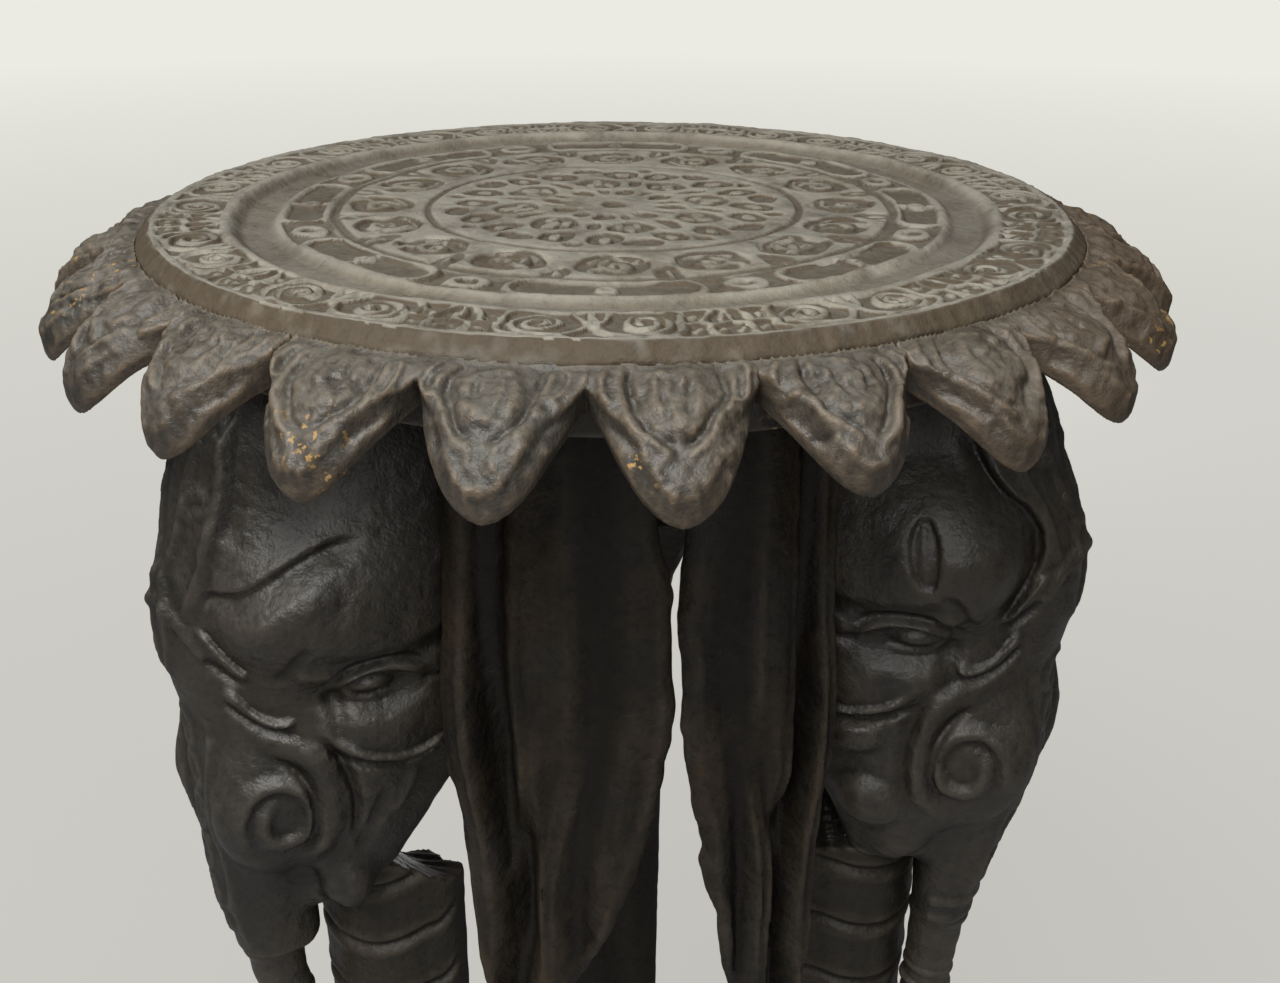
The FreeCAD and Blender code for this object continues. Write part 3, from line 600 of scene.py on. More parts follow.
def top_level(r, theta):
    """Height of the carved top at each point and how far the carving sinks it there, in millimetres."""
    spot = flat_spot(r * np.cos(theta), r * np.sin(theta))
    wander = 1.3 * noise(spot, 45.0, 31) + 0.6 * noise(spot, 15.0, 33)
    s = (r + wander) / RIM
    base = HEIGHT - 0.3 - 3.6 * band(s, 0.700, 0.728, 0.775, 0.812) - ridge(s, 0.700, 0.728)
    sunk = 1.2 * (1.0 - border_relief(r, theta)) * band(s, 0.812, 0.822, 0.944, 0.954)
    sunk = sunk + 1.4 * (1.0 - cartouche_relief(r, theta)) * band(s, 0.596, 0.606, 0.698, 0.708)
    sunk = sunk + 1.5 * (1.0 - leaf_relief(r, theta)) * band(s, 0.392, 0.408, 0.578, 0.592)
    sunk = sunk + 1.2 * hump(np.abs(s - 0.592), 0.014) + 1.2 * hump(np.abs(s - 0.398), 0.012)
    sunk = sunk + 1.5 * (1.0 - rosette_relief(r, theta)) * ridge(s, 0.368, 0.380)
    level = base - sunk + 0.35 * noise(spot, 24.0, 35) + 0.16 * noise(spot, 3.2, 37)
    return np.minimum(level, HEIGHT + 0.2), sunk


def spoke_angles(spokes):
    """Even angles round a ring."""
    return np.arange(spokes) * 2.0 * math.pi / spokes


def ring_points(r, theta, z):
    """Points of one ring."""
    return np.stack(np.broadcast_arrays(r * np.cos(theta), r * np.sin(theta), z), -1)


def top_rings():
    """Rings of the top from the middle of its face over the rim to the middle of its underside."""
    rings = []
    for first, last, step, spokes in FACE_ZONES:
        theta = spoke_angles(spokes)
        count = max(2, int(round((last - first) / (step * COARSE))) + 1)
        for radius in np.linspace(first, last, count):
            r = np.full(spokes, radius)
            rings.append(ring_points(r, theta, top_level(r, theta)[0]))
    theta = spoke_angles(RIM_SPOKES)
    edge = ring_points(RIM, theta, 0.0)
    dent = 0.5 * noise(edge, 26.0, 81) + 0.4 * noise(edge, 7.0, 83) + 0.3 * noise(edge, 2.8, 85)
    face = rings[-1][:, 2]
    for out, drop in RIM_SLOPE:
        rings.append(ring_points(out + dent * (drop < DENTED_TO), theta, face - drop + 0.25 * dent))
    for out, drop in RABBET_RINGS:
        rings.append(ring_points(out, theta, HEIGHT - drop))
    for out, spokes in UNDER_RINGS:
        rings.append(ring_points(out, spoke_angles(spokes), UNDERSIDE))
    return rings


def ring_faces(rings):
    """Faces that join the rings, whose points double or halve from one to the next, and close both ends."""
    first, last = len(rings[0]), len(rings[-1])
    faces = [(0, 1 + k, 1 + (k + 1) % first) for k in range(first)]
    i = 1
    for a, b in zip(rings[:-1], rings[1:]):
        few, many = len(a), len(b)
        j = i + few
        if many == few:
            faces += [(i + k, j + k, j + (k + 1) % many, i + (k + 1) % few) for k in range(many)]
        elif many == 2 * few:
            for k in range(few):
                faces.append((i + k, j + 2 * k, j + 2 * k + 1, j + (2 * k + 2) % many, i + (k + 1) % few))
        else:
            for k in range(many):
                faces.append((i + 2 * k, j + k, j + (k + 1) % many, i + (2 * k + 2) % few, i + 2 * k + 1))
        i = j
    return faces + [(i + k, i + last, i + (k + 1) % last) for k in range(last)]


def make_top():
    """The round top: a carved face on rings that grow finer outwards, a worn rim and a flat underside."""
    rings = top_rings()
    faces = ring_faces(rings)
    middle = top_level(np.array([0.0]), np.array([0.0]))[0][0]
    points = np.concatenate([[[0.0, 0.0, middle]], *rings, [[0.0, 0.0, UNDERSIDE]]])
    mesh = bpy.data.meshes.new("carved_top")
    mesh.from_pydata((points * MILLIMETRE).tolist(), [], faces)
    mesh.polygons.foreach_set("use_smooth", np.ones(len(faces), bool))
    mesh.update(calc_edges=True)
    radius = np.hypot(points[:, 0], points[:, 1])
    sunk = top_level(radius, np.arctan2(points[:, 1], points[:, 0]))[1]
    carved = (radius < FACE_EDGE) * (points[:, 2] > FLANGE)
    plain = band(radius / RIM, 0.700, 0.725, 0.785, 0.812)
    # Painted shade in the sunk carving and the cove; the rim, rabbet and underside are darkened all over in
    # uneven patches.
    rim_patches = noise(points, 5.0, 87) + 0.7 * noise(points, 2.2, 89)
    shade_mask = np.where(carved, sunk / 1.1 + 0.45 * plain, 0.9 + 0.5 * rim_patches)
    worn = np.clip(1.0 - sunk / 0.7, 0.0, 1.0) * carved * (0.85 - 0.6 * plain)
    place_piece("carved_top", mesh, wood_top, "top_disc", np.clip(shade_mask, 0.0, 1.0), worn)


# Petal apron

PETAL_PITCH = 360.0 / PETAL_COUNT
SEGMENT_COUNT = PETAL_COUNT // PETALS_PER_SEGMENT
# Half the turn of a segment and the gap left at its ends, in degrees.
SEGMENT_HALF = 30.0
SEGMENT_GAP = 0.052
# A petal's slope from its root under the rim to its tip.
ROOT_R, ROOT_Z = RIM - 1.5, FLANGE - CLEARANCE
TIP_R, TIP_Z = PETAL_TIP + 4.5, HEIGHT - PETAL_DROP + 3.0
SLOPE = math.hypot(TIP_R - ROOT_R, TIP_Z - ROOT_Z)
ALONG_R, ALONG_Z = (TIP_R - ROOT_R) / SLOPE, (TIP_Z - ROOT_Z) / SLOPE
# Share of a petal's half width that is cut away at each share of its slope.
NOTCH_SHARE = (0.12, 0.20, 0.31, 0.42, 0.52, 0.62, 0.72, 0.80, 0.87, 0.92, 0.955)
NOTCH_WIDTH = (0.0, 0.07, 0.145, 0.22, 0.30, 0.385, 0.48, 0.58, 0.70, 0.83, 1.02)
PETAL_END = 0.95
# Where the petals' upper edge meets the rim.
SEAM_R, SEAM_Z = 163.2, 535.4
# Lines carved on one half of a petal: points, half width and height, in millimetres.
PETAL_LINES = (
    ([(10.0, -2.0), (12.0, 7.0), (10.6, 15.0), (6.2, 22.5), (0.0, 28.5)], 1.3, -0.9),
    ([(12.6, -1.0), (14.8, 7.5), (13.2, 16.0), (8.4, 24.5), (1.5, 31.0)], 1.6, 0.7),
    ([(15.0, -1.5), (18.6, 3.0), (18.8, 9.5), (16.2, 13.0), (14.6, 10.0)], 1.3, 1.0),
    ([(17.5, 15.0), (14.0, 21.0), (11.0, 27.0)], 1.3, -0.8),
    ([(3.0, 4.0), (4.5, 10.0), (2.0, 17.0)], 1.2, -0.6),
)


def petal_relief(x, y, seed):
    """Worn carving on one petal's face, in millimetres outwards, over its width and length."""
    rng = np.random.default_rng(seed)
    skew = rng.uniform(-1.6, 1.6)
    fresh = rng.uniform(0.65, 1.1)
    spot = flat_spot(x + 61.0 * seed, y)
    x = x + 2.0 * noise(spot, 10.0, 91) + skew * y / 40.0
    y = y + 2.0 * noise(spot, 9.0, 93) + rng.uniform(-1.4, 1.4)
    boss = np.hypot(x / rng.uniform(8.5, 10.5), (y - 11.0) / rng.uniform(12.0, 14.0))
    out = 1.5 * ridge(boss, 0.70, 1.08) + 0.7 * hump(boss, 0.9)
    for points, half, height in PETAL_LINES:
        gap, share = line_distance(np.abs(x), y, rounded(points))
        out = out + 1.5 * fresh * height * hump(gap, half * 1.3) * tapered(share)
    return out + 0.75 * noise(spot, 6.5, 95) + 0.55 * noise(spot, 3.2, 97) + 0.35 * noise(spot, 1.7, 99)


def segment_field(x, y, z, number):
    """Field of one apron segment, in millimetres, with its middle on the x axis."""
    r = np.sqrt(x * x + y * y)
    theta = np.degrees(np.arctan2(y, x))
    b = (r - ROOT_R) * ALONG_R + (z - ROOT_Z) * ALONG_Z
    out = -(r - ROOT_R) * ALONG_Z + (z - ROOT_Z) * ALONG_R
    share = b / SLOPE
    local = (theta + SEGMENT_HALF) / PETAL_PITCH
    which = np.clip(np.floor(local), 0, PETALS_PER_SEGMENT - 1).astype(int)
    a = (local - which - 0.5) * 2.0
    half = math.pi * PETAL_TIP / PETAL_COUNT
    bow = PETAL_BOW * (1.0 - (2.0 * np.clip(share, 0.0, 1.1) - 1.0) ** 2)
    crown = 1.4 * np.clip(1.0 - a * a, 0.0, 1.0) * smooth(0.05, 0.5, share) + 2.3 * ridge(share, 0.0, 0.30)
    width = np.broadcast_to(a * np.radians(PETAL_PITCH / 2.0) * r, b.shape)
    near_face = (b > -6.0) & (b < SLOPE + 6.0) & (out > -6.0) & (out < 18.0)
    relief = np.zeros(b.shape)
    jitter = np.zeros(b.shape)
    for k in range(PETALS_PER_SEGMENT):
        index = (number - 1) * PETALS_PER_SEGMENT + k
        here = (which == k) & near_face
        relief[here] = petal_relief(width[here], b[here], index)
        jitter = np.where(which == k, np.random.default_rng(300 + index).uniform(-0.045, 0.05), jitter)
    plain = out - bow - crown
    face = plain - relief * smooth(-3.0, 1.5, b)
    thick = PETAL_THICKNESS * (1.0 - 0.32 * np.clip(share, 0.0, 1.0))
    sheet = soft_max(face, -plain - thick, 2.5)
    length = share - jitter
    cut = np.interp(length, NOTCH_SHARE, NOTCH_WIDTH) * half
    edge = half * (1.0 - np.abs(a)) * (r / PETAL_TIP)
    joined = -edge * 0.75 - (NOTCH_SHARE[0] - length) * SLOPE * 0.6
    outline = np.where(length < NOTCH_SHARE[0], joined, (cut - edge) * 0.75)
    outline = np.maximum(outline, (length - PETAL_END) * SLOPE)
    bevel = 0.3 + 3.4 * smooth(0.12, 0.50, length)
    outline = outline + bevel * ridge(np.clip(-face, 0.0, PETAL_THICKNESS), 0.0, 6.0)
    petals = soft_max(sheet, outline, 1.2)
    inner = RABBET + CLEARANCE - r
    block = np.maximum(np.maximum(inner, r - ROOT_R), np.maximum(z - ROOT_Z, UNDERSIDE - z))
    solid = soft_min(np.maximum(petals, inner), block, 1.5)
    under_rim = np.minimum(z - ROOT_Z, np.maximum(z - SEAM_Z, SEAM_R - r))
    solid = np.maximum(solid, np.maximum(under_rim, inner))
    side = (np.abs(theta) - SEGMENT_HALF + SEGMENT_GAP) * np.radians(1.0) * r
    return np.maximum(solid, side)


def make_segment(number):
    """One apron segment of four carved petals, with painted shade on the block behind them."""
    step = 0.75 * COARSE
    low, high = (126.25, -106.0, 492.0), (206.0, 106.0, 539.0)
    vertices, quads = surface_net(segment_field(*grid_axes(low, high, step), number), low, step)
    # Painted shade on the block behind and below the petals' roots.
    behind = ROOT_R - np.hypot(vertices[:, 0], vertices[:, 1]) + 0.9 * (ROOT_Z - vertices[:, 2])
    middle = PETAL_TURN + 1.5 * PETAL_PITCH + 2.0 * SEGMENT_HALF * (number - 1)
    add_piece("petal_segment_%d" % number, turned(vertices, middle), quads, wood_petal,
              "apron_segment_%d" % number, 0.22, 100 + 5 * number, reach=0.9, painted_shade=smooth(3.0, 9.0, behind))


make_top()
for number in range(1, SEGMENT_COUNT + 1):
    make_segment(number)


# Elephant heads

# Level sections of a head: depth below the top, back, front and half width, in rim radii.
HEAD_SECTIONS = (
    (26.0 / RIM, 0.27, 0.885, 0.25), (0.30, 0.27, 0.965, 0.258), (0.45, 0.27, 1.015, 0.290),
    (0.60, 0.28, 1.035, 0.305), (0.76, 0.33, 1.040, 0.300), (0.92, 0.41, 1.035, 0.285),
    (1.08, 0.53, 1.010, 0.262), (1.22, 0.61, 0.950, 0.225), (1.36, 0.66, 0.855, 0.170),
    (1.46, 0.68, 0.80, 0.13),
)
# The trunk's root: depth, middle, half depth and half width, in rim radii.
TRUNK_ROOT = (
    (0.84, 0.895, 0.110, 0.150), (0.98, 0.925, 0.104, 0.148), (1.11, 0.930, 0.100, 0.134),
    (1.25, 0.912, 0.096, 0.114), (1.40, 0.890, 0.084, 0.094), (1.57, 0.872, 0.066, 0.078),
    (1.66, 0.864, 0.062, 0.072),
)
# Half of a level section, in shares of its length from back to front and of its half width.
HEAD_HALF = (
    (1.0, 0.0), (0.955, 0.36), (0.80, 0.72), (0.56, 0.97), (0.30, 1.0), (0.07, 0.84), (0.0, 0.45),
    (0.0, 0.0),
)
SECTION_MIDDLE = 0.45
JAW_END = 1.375
SHEATH_END = 1.57
# Height of each head's carving above or below the middle of the three, in rim radii.
HEAD_SHIFT = {1: 0.0, 2: 0.040, 3: -0.040}
# Outward lean of each trunk's sheath and how much deeper it is than the others, in rim radii.
SHEATH_LEAN = {1: 0.0, 2: 0.045, 3: -0.015}
SHEATH_EXTRA = {1: 0.0, 2: 0.026, 3: 0.0}
# Heads whose sheath ends in carved rings.
RINGED_SHEATHS = (1, 3)
# How much further back each jaw reaches, in rim radii.
JAW_EXTRA = {1: 0.0, 2: 0.050, 3: 0.0}
# Depth of the leaf cut in each brow, in millimetres.
HEAD_LEAF = {1: -0.6, 2: -0.25, 3: -2.0}
# Soft lobes of the face: middle and half sizes in radius, sideways and depth, and blend, in rim radii.
BROW_LOBES = (
    ((0.850, 0.188, 0.600), (0.130, 0.108, 0.115)),
    ((0.770, 0.212, 0.606), (0.150, 0.088, 0.115)),
    ((0.680, 0.232, 0.612), (0.160, 0.076, 0.115)),
)
FACE_LOBES = (
    ((0.985, 0.0, 0.70), (0.085, 0.115, 0.20), 0.045),
    ((0.700, 0.225, 0.895), (0.150, 0.074, 0.085), 0.06),
    ((0.785, 0.150, 1.300), (0.060, 0.062, 0.098), 0.03),
    ((0.825, 0.0, 1.350), (0.070, 0.120, 0.105), 0.03),
    ((0.905, 0.122, 1.090), (0.140, 0.070, 0.160), 0.07),
)
CHEEK_LOBES = (
    ((0.735, 0.206, 1.185), (0.085, 0.085, 0.088), 0.008),
    ((0.705, 0.238, 1.015), (0.080, 0.074, 0.062), 0.008),
)
HEAD_LOBES = {1: FACE_LOBES, 2: FACE_LOBES, 3: FACE_LOBES + CHEEK_LOBES}
# Lines carved on the side of the face: points as radius and depth, and half width, in thousandths of a rim
# radius, and height in millimetres.
CHEEK_SCROLL = [(930 + 0.80 * a, 1086 + b) for a, b in spiral((0, 0), 116, 30, 60.0, 1.62, hand=-1)]
SIDE_LINES = (
    ([(540, 620), (590, 695), (680, 716), (780, 714), (860, 696), (930, 655)], 30, -2.6),
    ([(875, 630), (902, 690), (912, 760)], 16, -1.5),
    ([(826, 893), (787, 928), (742, 947), (690, 958), (630, 956), (578, 925)], 10, 2.6),
    ([(842, 920), (795, 955), (742, 974), (690, 983), (625, 979), (575, 948)], 13, -2.8),
    ([(1000, 775), (984, 808), (964, 837), (936, 856), (906, 857), (886, 838)], 10, 2.8),
    ([(995, 806), (974, 840), (948, 868), (915, 882), (885, 870)], 12, -2.0),
    ([(1035, 645), (1012, 690), (985, 730), (955, 756)], 9, 2.2),
    ([(1024, 700), (997, 745), (962, 776)], 11, -1.6),
    ([(965, 895), (905, 908), (858, 960), (836, 1040), (836, 1125), (856, 1195), (900, 1240)], 26, 2.3),
    ([(940, 938), (894, 965), (870, 1020), (862, 1090), (870, 1165), (890, 1205)], 11, -2.4),
    ([(845, 1345), (800, 1395), (740, 1400), (690, 1375)], 14, -2.0),
    (spiral((975, 300), 50, 12, 200.0, 1.4), 10, 1.6),
    (CHEEK_SCROLL, 19, 2.6),
)
# Folds of the temple, different on each head.
TEMPLE_FOLD = (
    ([(740, 458), (800, 470), (850, 487), (890, 507), (935, 536), (980, 572), (1020, 615)], 19, -2.8),
    ([(800, 520), (880, 545), (950, 590), (1000, 645)], 30, 1.0),
    ([(915, 230), (950, 320), (972, 410), (1000, 470), (1010, 550)], 11, 1.5),
    ([(885, 240), (920, 330), (942, 420), (968, 480)], 12, -1.6),
    ([(720, 1030), (735, 1100), (765, 1170), (770, 1230)], 16, -1.8),
    ([(660, 1000), (675, 1070), (710, 1130)], 14, 1.4),
    ([(872, 868), (824, 922), (790, 1010), (778, 1100), (787, 1190)], 12, -3.0),
)
TEMPLE_WAVE = (
    ([(835, 300), (882, 420), (927, 480), (971, 520), (1003, 578), (994, 663), (967, 721),
      (960, 790)], 13, -2.8),
    ([(860, 280), (908, 405), (952, 460), (996, 500), (1030, 575), (1018, 670)], 11, 1.9),
    ([(905, 280), (945, 380), (990, 430), (1030, 480)], 10, -1.5),
    ([(872, 868), (832, 922), (812, 1010), (806, 1100), (815, 1190)], 20, -1.6),
)
TEMPLE_LINES = {1: TEMPLE_FOLD, 2: TEMPLE_FOLD, 3: TEMPLE_WAVE}
# Lids and the corner of the eye, carved further forward on one head than on the others.
EYE_LINES = (
    ([(845, 778), (800, 730), (748, 716), (690, 720), (620, 754)], 12, -1.8),
    ([(822, 790), (795, 750), (748, 737), (692, 742), (630, 776)], 10, 2.4),
    ([(812, 784), (785, 808), (745, 814), (695, 802)], 8, 1.3),
    ([(650, 785), (600, 792), (565, 775)], 13, -1.3),
    ([(822, 780), (813, 830), (815, 875), (828, 910)], 20, -1.6),
)
EYE_SHIFT = {1: 0.0, 2: 0.0, 3: 0.060}
# Lines carved on the forehead and trunk, alike, with points as sideways and depth.
FRONT_LINES = (
    ([(55, 180), (60, 360), (20, 600)], 13, 1.5),
    ([(120, 200), (132, 400), (110, 580), (70, 660)], 15, 1.8),
    ([(0, 540), (35, 600), (45, 680), (25, 760), (0, 800)], 13, 1.8),
    (spiral((90, 410), 36, 8, 90.0, 1.3), 12, 1.2),
    ([(0, 615), (70, 650), (100, 680), (140, 735)], 17, 1.6),
    ([(75, 840), (90, 950), (82, 1080), (68, 1220), (52, 1380), (45, 1560)], 12, 1.4),
)
BEADS = 6


def section_field(u, v, back, front, half, half_outline):
    """About the distance to a level section, in rim radii, and the place along it."""
    length = (front - back) / 2.0
    middle = back + 2.0 * SECTION_MIDDLE * length
    along, across = (u - middle) / length, v / half
    phi = np.array([math.atan2(y, (x - SECTION_MIDDLE) * 2.0) for x, y in half_outline])
    rho = np.array([math.hypot(y, (x - SECTION_MIDDLE) * 2.0) for x, y in half_outline])
    fine = np.linspace(0.0, math.pi, 361)
    edge = curve(fine, np.stack([phi, rho], -1), 1)
    reach = np.hypot(along, across)
    gap = reach - np.interp(np.arctan2(across, along), fine, edge)
    return gap * np.hypot(u - middle, v) / np.maximum(reach, 1e-6), along


def ellipsoid(x, y, d, middle, half):
    """About the distance to an ellipsoid, in rim radii."""
    p = (x - middle[0]) / half[0], (y - middle[1]) / half[1], (d - middle[2]) / half[2]
    k0 = np.sqrt(p[0] ** 2 + p[1] ** 2 + p[2] ** 2)
    k1 = np.sqrt((p[0] / half[0]) ** 2 + (p[1] / half[1]) ** 2 + (p[2] / half[2]) ** 2)
    return k0 * (k0 - 1.0) / np.maximum(k1, 1e-6)


def drawn_height(u, v, lines, run):
    """Height of a group of carved lines over a plane, in millimetres."""
    total = np.zeros(np.broadcast(u, v).shape)
    for points, width, height in lines:
        points = [(across / THOUSAND, down / THOUSAND) for across, down in points]
        gap, share = line_distance(u, v, rounded(points, 1))
        total += height * hump(gap, width / THOUSAND * 1.45) * tapered(share, run)
    return total


def head_form(u, v, d, depth, number):
    """Field of one head's smooth form with the root of its trunk, in rim radii."""
    back, front, half = (curve(depth, HEAD_SECTIONS, k) for k in (1, 2, 3))
    back = back - JAW_EXTRA[number] * hump(np.abs(depth - 1.17), 0.26)
    field, _ = section_field(u, v, back, front, half, HEAD_HALF)
    field = soft_max(field, depth - JAW_END, 0.03)
    lean, extra = SHEATH_LEAN[number], SHEATH_EXTRA[number]
    centre, deep, wide = (curve(depth, TRUNK_ROOT, k) for k in (1, 2, 3))
    centre = centre + (lean - 0.6 * extra) * smooth(1.05, 1.50, depth)
    deep = deep + extra * smooth(1.05, 1.45, depth)
    reach = np.hypot((u - centre) / deep, v / wide)
    root = (reach - 1.0) * np.hypot(u - centre, v) / np.maximum(reach, 1e-6)
    field = soft_min(field, np.maximum(root, 0.80 - depth), 0.045)
    brow = ellipsoid(u, v, d, *BROW_LOBES[0])
    for place, size in BROW_LOBES[1:]:
        brow = soft_min(brow, ellipsoid(u, v, d, place, size), 0.14)
    field = soft_min(field, brow, 0.09)
    for place, size, blend in HEAD_LOBES[number]:
        field = soft_min(field, ellipsoid(u, v, d, place, size), blend)
    return field


def side_relief(u, d, number):
    """Carving on the side of one face, in millimetres: lines, eye, brow leaf and cheek boss."""
    eye_u = u - EYE_SHIFT[number]
    relief = drawn_height(u, d, SIDE_LINES + TEMPLE_LINES[number], 0.20)
    relief += drawn_height(eye_u, d, EYE_LINES, 0.20)
    socket = np.hypot((eye_u - 0.750) / 0.135, (d - 0.785) / 0.075)
    ball = np.hypot((eye_u - 0.756) / 0.056, (d - 0.779) / 0.028)
    relief += 4.8 * hump(ball, 1.15) - 4.6 * hump(socket, 1.1)
    along = np.clip((d - 0.490) / 0.150, 0.0, 1.0)
    off_vein = u - 0.820 - 0.030 * along
    leaf = np.abs(off_vein) / (0.026 * np.sin(math.pi * along) ** 0.8 + 0.003)
    leaf_height = HEAD_LEAF[number] * tapered(along, 0.12)
    relief += leaf_height * (ridge(leaf, 0.75, 1.25) - 0.3 * hump(np.abs(off_vein + 0.004), 0.012))
    boss = np.hypot((u - 0.930) / 0.040, (d - 1.088) / 0.052)
    return relief + 0.6 * hump(boss, 1.1)


def front_relief(v, d):
    """Carving on the forehead and down the trunk's root, in millimetres: lines and a row of beads."""
    relief = drawn_height(v, d, FRONT_LINES, 0.16)
    for k in range(BEADS):
        bead = np.hypot(v / (0.040 - 0.003 * k), (d - 0.92 - 0.105 * k) / 0.048)
        relief += 1.2 * hump(np.abs(bead - 0.85), 0.42) + 0.6 * hump(bead, 0.7)
    return relief


def head_field(x, y, z, number):
    """Field of one head, in millimetres, in its own frame: radius, sideways and height."""
    depth = (HEIGHT - z) / RIM
    d = depth - HEAD_SHIFT[number] * band(depth, 0.22, 0.45, 1.42, 1.57)
    u, v = x / RIM, np.abs(y) / RIM
    field = head_form(u, v, d, depth, number) * RIM
    field = field - side_relief(u[:, 0, :], d[0], number)[:, None, :] * smooth(0.05, 0.12, v)
    field = field - front_relief(v[0], d[0])[None] * smooth(0.84, 0.93, u)
    if number in RINGED_SHEATHS:
        rings = hump(np.abs(depth - 1.50), 0.022) + hump(np.abs(depth - 1.55), 0.020)
        field = field - 1.1 * rings * smooth(0.84, 0.86, u)
    field = np.maximum(field, z - UNDERSIDE + 0.2)
    field = np.maximum(field, 0.29 * RIM + 0.1 - x)
    return np.maximum(field, (depth - SHEATH_END) * RIM)


def make_head(number):
    """One carved elephant head with the root of its trunk."""
    step = 1.0 * COARSE
    low = (0.28 * RIM - 3.0, -0.40 * RIM, HEIGHT - SHEATH_END * RIM - 3.0)
    high = (1.13 * RIM, 0.40 * RIM, UNDERSIDE + 3.0)
    vertices, quads = surface_net(head_field(*grid_axes(low, high, step), number), low, step)
    vertices = turned(vertices, HEAD_ANGLES[number])
    add_piece("elephant_head_%d" % number, vertices, quads, wood_head,
              "head_%d" % number, 0.45, 200 + 7 * number)


# Ears

EAR_THICKNESS = 9.0
# Root and free edge of each ear in plan, then its outline as share of its width and depth, in rim radii.
EAR_LINES = {"left": ((0.575, 0.265), (0.310, 0.650)), "right": ((0.600, -0.265), (0.448, -0.562))}
EAR_OUTLINES = {
    "left": (
        (0.00, 1.05), (0.14, 1.18), (0.19, 1.43), (0.26, 1.56), (0.40, 1.68), (0.56, 1.63), (0.70, 1.50),
        (0.835, 1.34), (0.975, 1.14), (1.05, 0.96), (1.06, 0.79), (1.05, 0.60), (1.01, 0.44), (0.96, 0.25),
    ),
    "right": (
        (0.00, 1.03), (0.13, 1.16), (0.17, 1.37), (0.22, 1.56), (0.34, 1.67), (0.46, 1.70), (0.60, 1.63),
        (0.74, 1.51), (0.83, 1.36), (0.945, 1.10), (1.035, 0.92), (1.04, 0.70), (1.03, 0.44), (0.90, 0.25),
    ),
}


def inside_outline(u, v, points):
    """Signed distance to a closed outline, below zero inside."""
    gap, _ = line_distance(u, v, list(points) + [points[0]])
    within = np.zeros(np.broadcast(u, v).shape, bool)
    for (au, av), (bu, bv) in zip(points, list(points[1:]) + [points[0]]):
        crosses = (av > v) != (bv > v)
        reach = au + (v - av) * (bu - au) / (bv - av if bv != av else 1e-9)
        within ^= crosses & (u < reach)
    return np.where(within, -gap, gap)


def ear_fold(share, depth):
    """How far the folds push an ear out, in millimetres, across its width and down its length."""
    lean = 0.10 * smooth(0.5, 1.5, depth) + 0.025 * np.sin(depth * 6.0)
    fold = 5.5 * hump(np.abs(share - 0.15 - lean), 0.11) - 7.5 * hump(np.abs(share - 0.31 - lean), 0.15)
    fold = fold + 6.0 * hump(np.abs(share - 0.55 + 0.6 * lean), 0.20)
    fold = fold - 4.6 * hump(np.abs(share - 0.80 + lean), 0.15)
    dip = 0.66 - 0.20 * smooth(0.75, 1.35, depth)
    fold = fold + 2.6 * smooth(0.86, 1.04, share)
    fold = fold - 5.0 * hump(np.abs(share - dip), 0.12) * band(depth, 0.72, 1.00, 1.30, 1.58)
    return fold + 5.0 * hump(np.abs(depth - 0.93), 0.28) * ridge(share, 0.0, 0.40)


def ear_field(a, o, z, side, width, number, step):
    """Field of one ear, in millimetres, in its own frame: across its width, outwards and height."""
    depth = (HEIGHT - z) / RIM
    share = np.clip(a / width, 0.0, 1.05)
    wave = 0.024 * np.sin(2.0 * math.pi * 1.5 * share) * np.sin(math.pi * np.minimum(share, 1.0)) ** 0.5
    middle = (0.075 * np.sin(math.pi * share) + wave) * RIM
    middle = middle + ear_fold(share, depth) * (0.45 + 0.55 * smooth(0.25, 0.9, depth))
    middle = middle + 1.2 * np.sin(depth * 9.0 + number * 2.0) * smooth(0.4, 1.0, share)
    outline = rounded([(s * width, d * RIM) for s, d in EAR_OUTLINES[side]])
    outline += [(0.90 * width, 0.17 * RIM), (4.0, 0.17 * RIM), (4.0, 1.00 * RIM)]
    flat = a[:, 0, :]
    rim = inside_outline(flat, (HEIGHT - z)[0], outline)
    spot = np.stack(np.broadcast_arrays(flat, z[0], np.full_like(flat, 40.0 * number)), -1)
    rim = rim + 1.4 * noise(spot, 16.0, 401) + 0.6 * noise(spot, 6.0, 403)
    inward = np.clip(-rim, 0.0, 40.0)
    thick = EAR_THICKNESS * (0.50 + 0.42 * smooth(2.0, 22.0, inward)) + 1.5 * hump(np.abs(inward - 2.5), 3.5)
    steep = np.gradient(np.broadcast_to(middle, (a.shape[0], 1, z.shape[2])), step, axis=0)
    sheet = np.abs(o - middle) / np.sqrt(1.0 + steep * steep) - thick[:, None, :] / 2.0
    field = soft_max(sheet, np.broadcast_to(rim[:, None, :], sheet.shape), 3.5)
    return np.maximum(field, z - UNDERSIDE + 2.0)


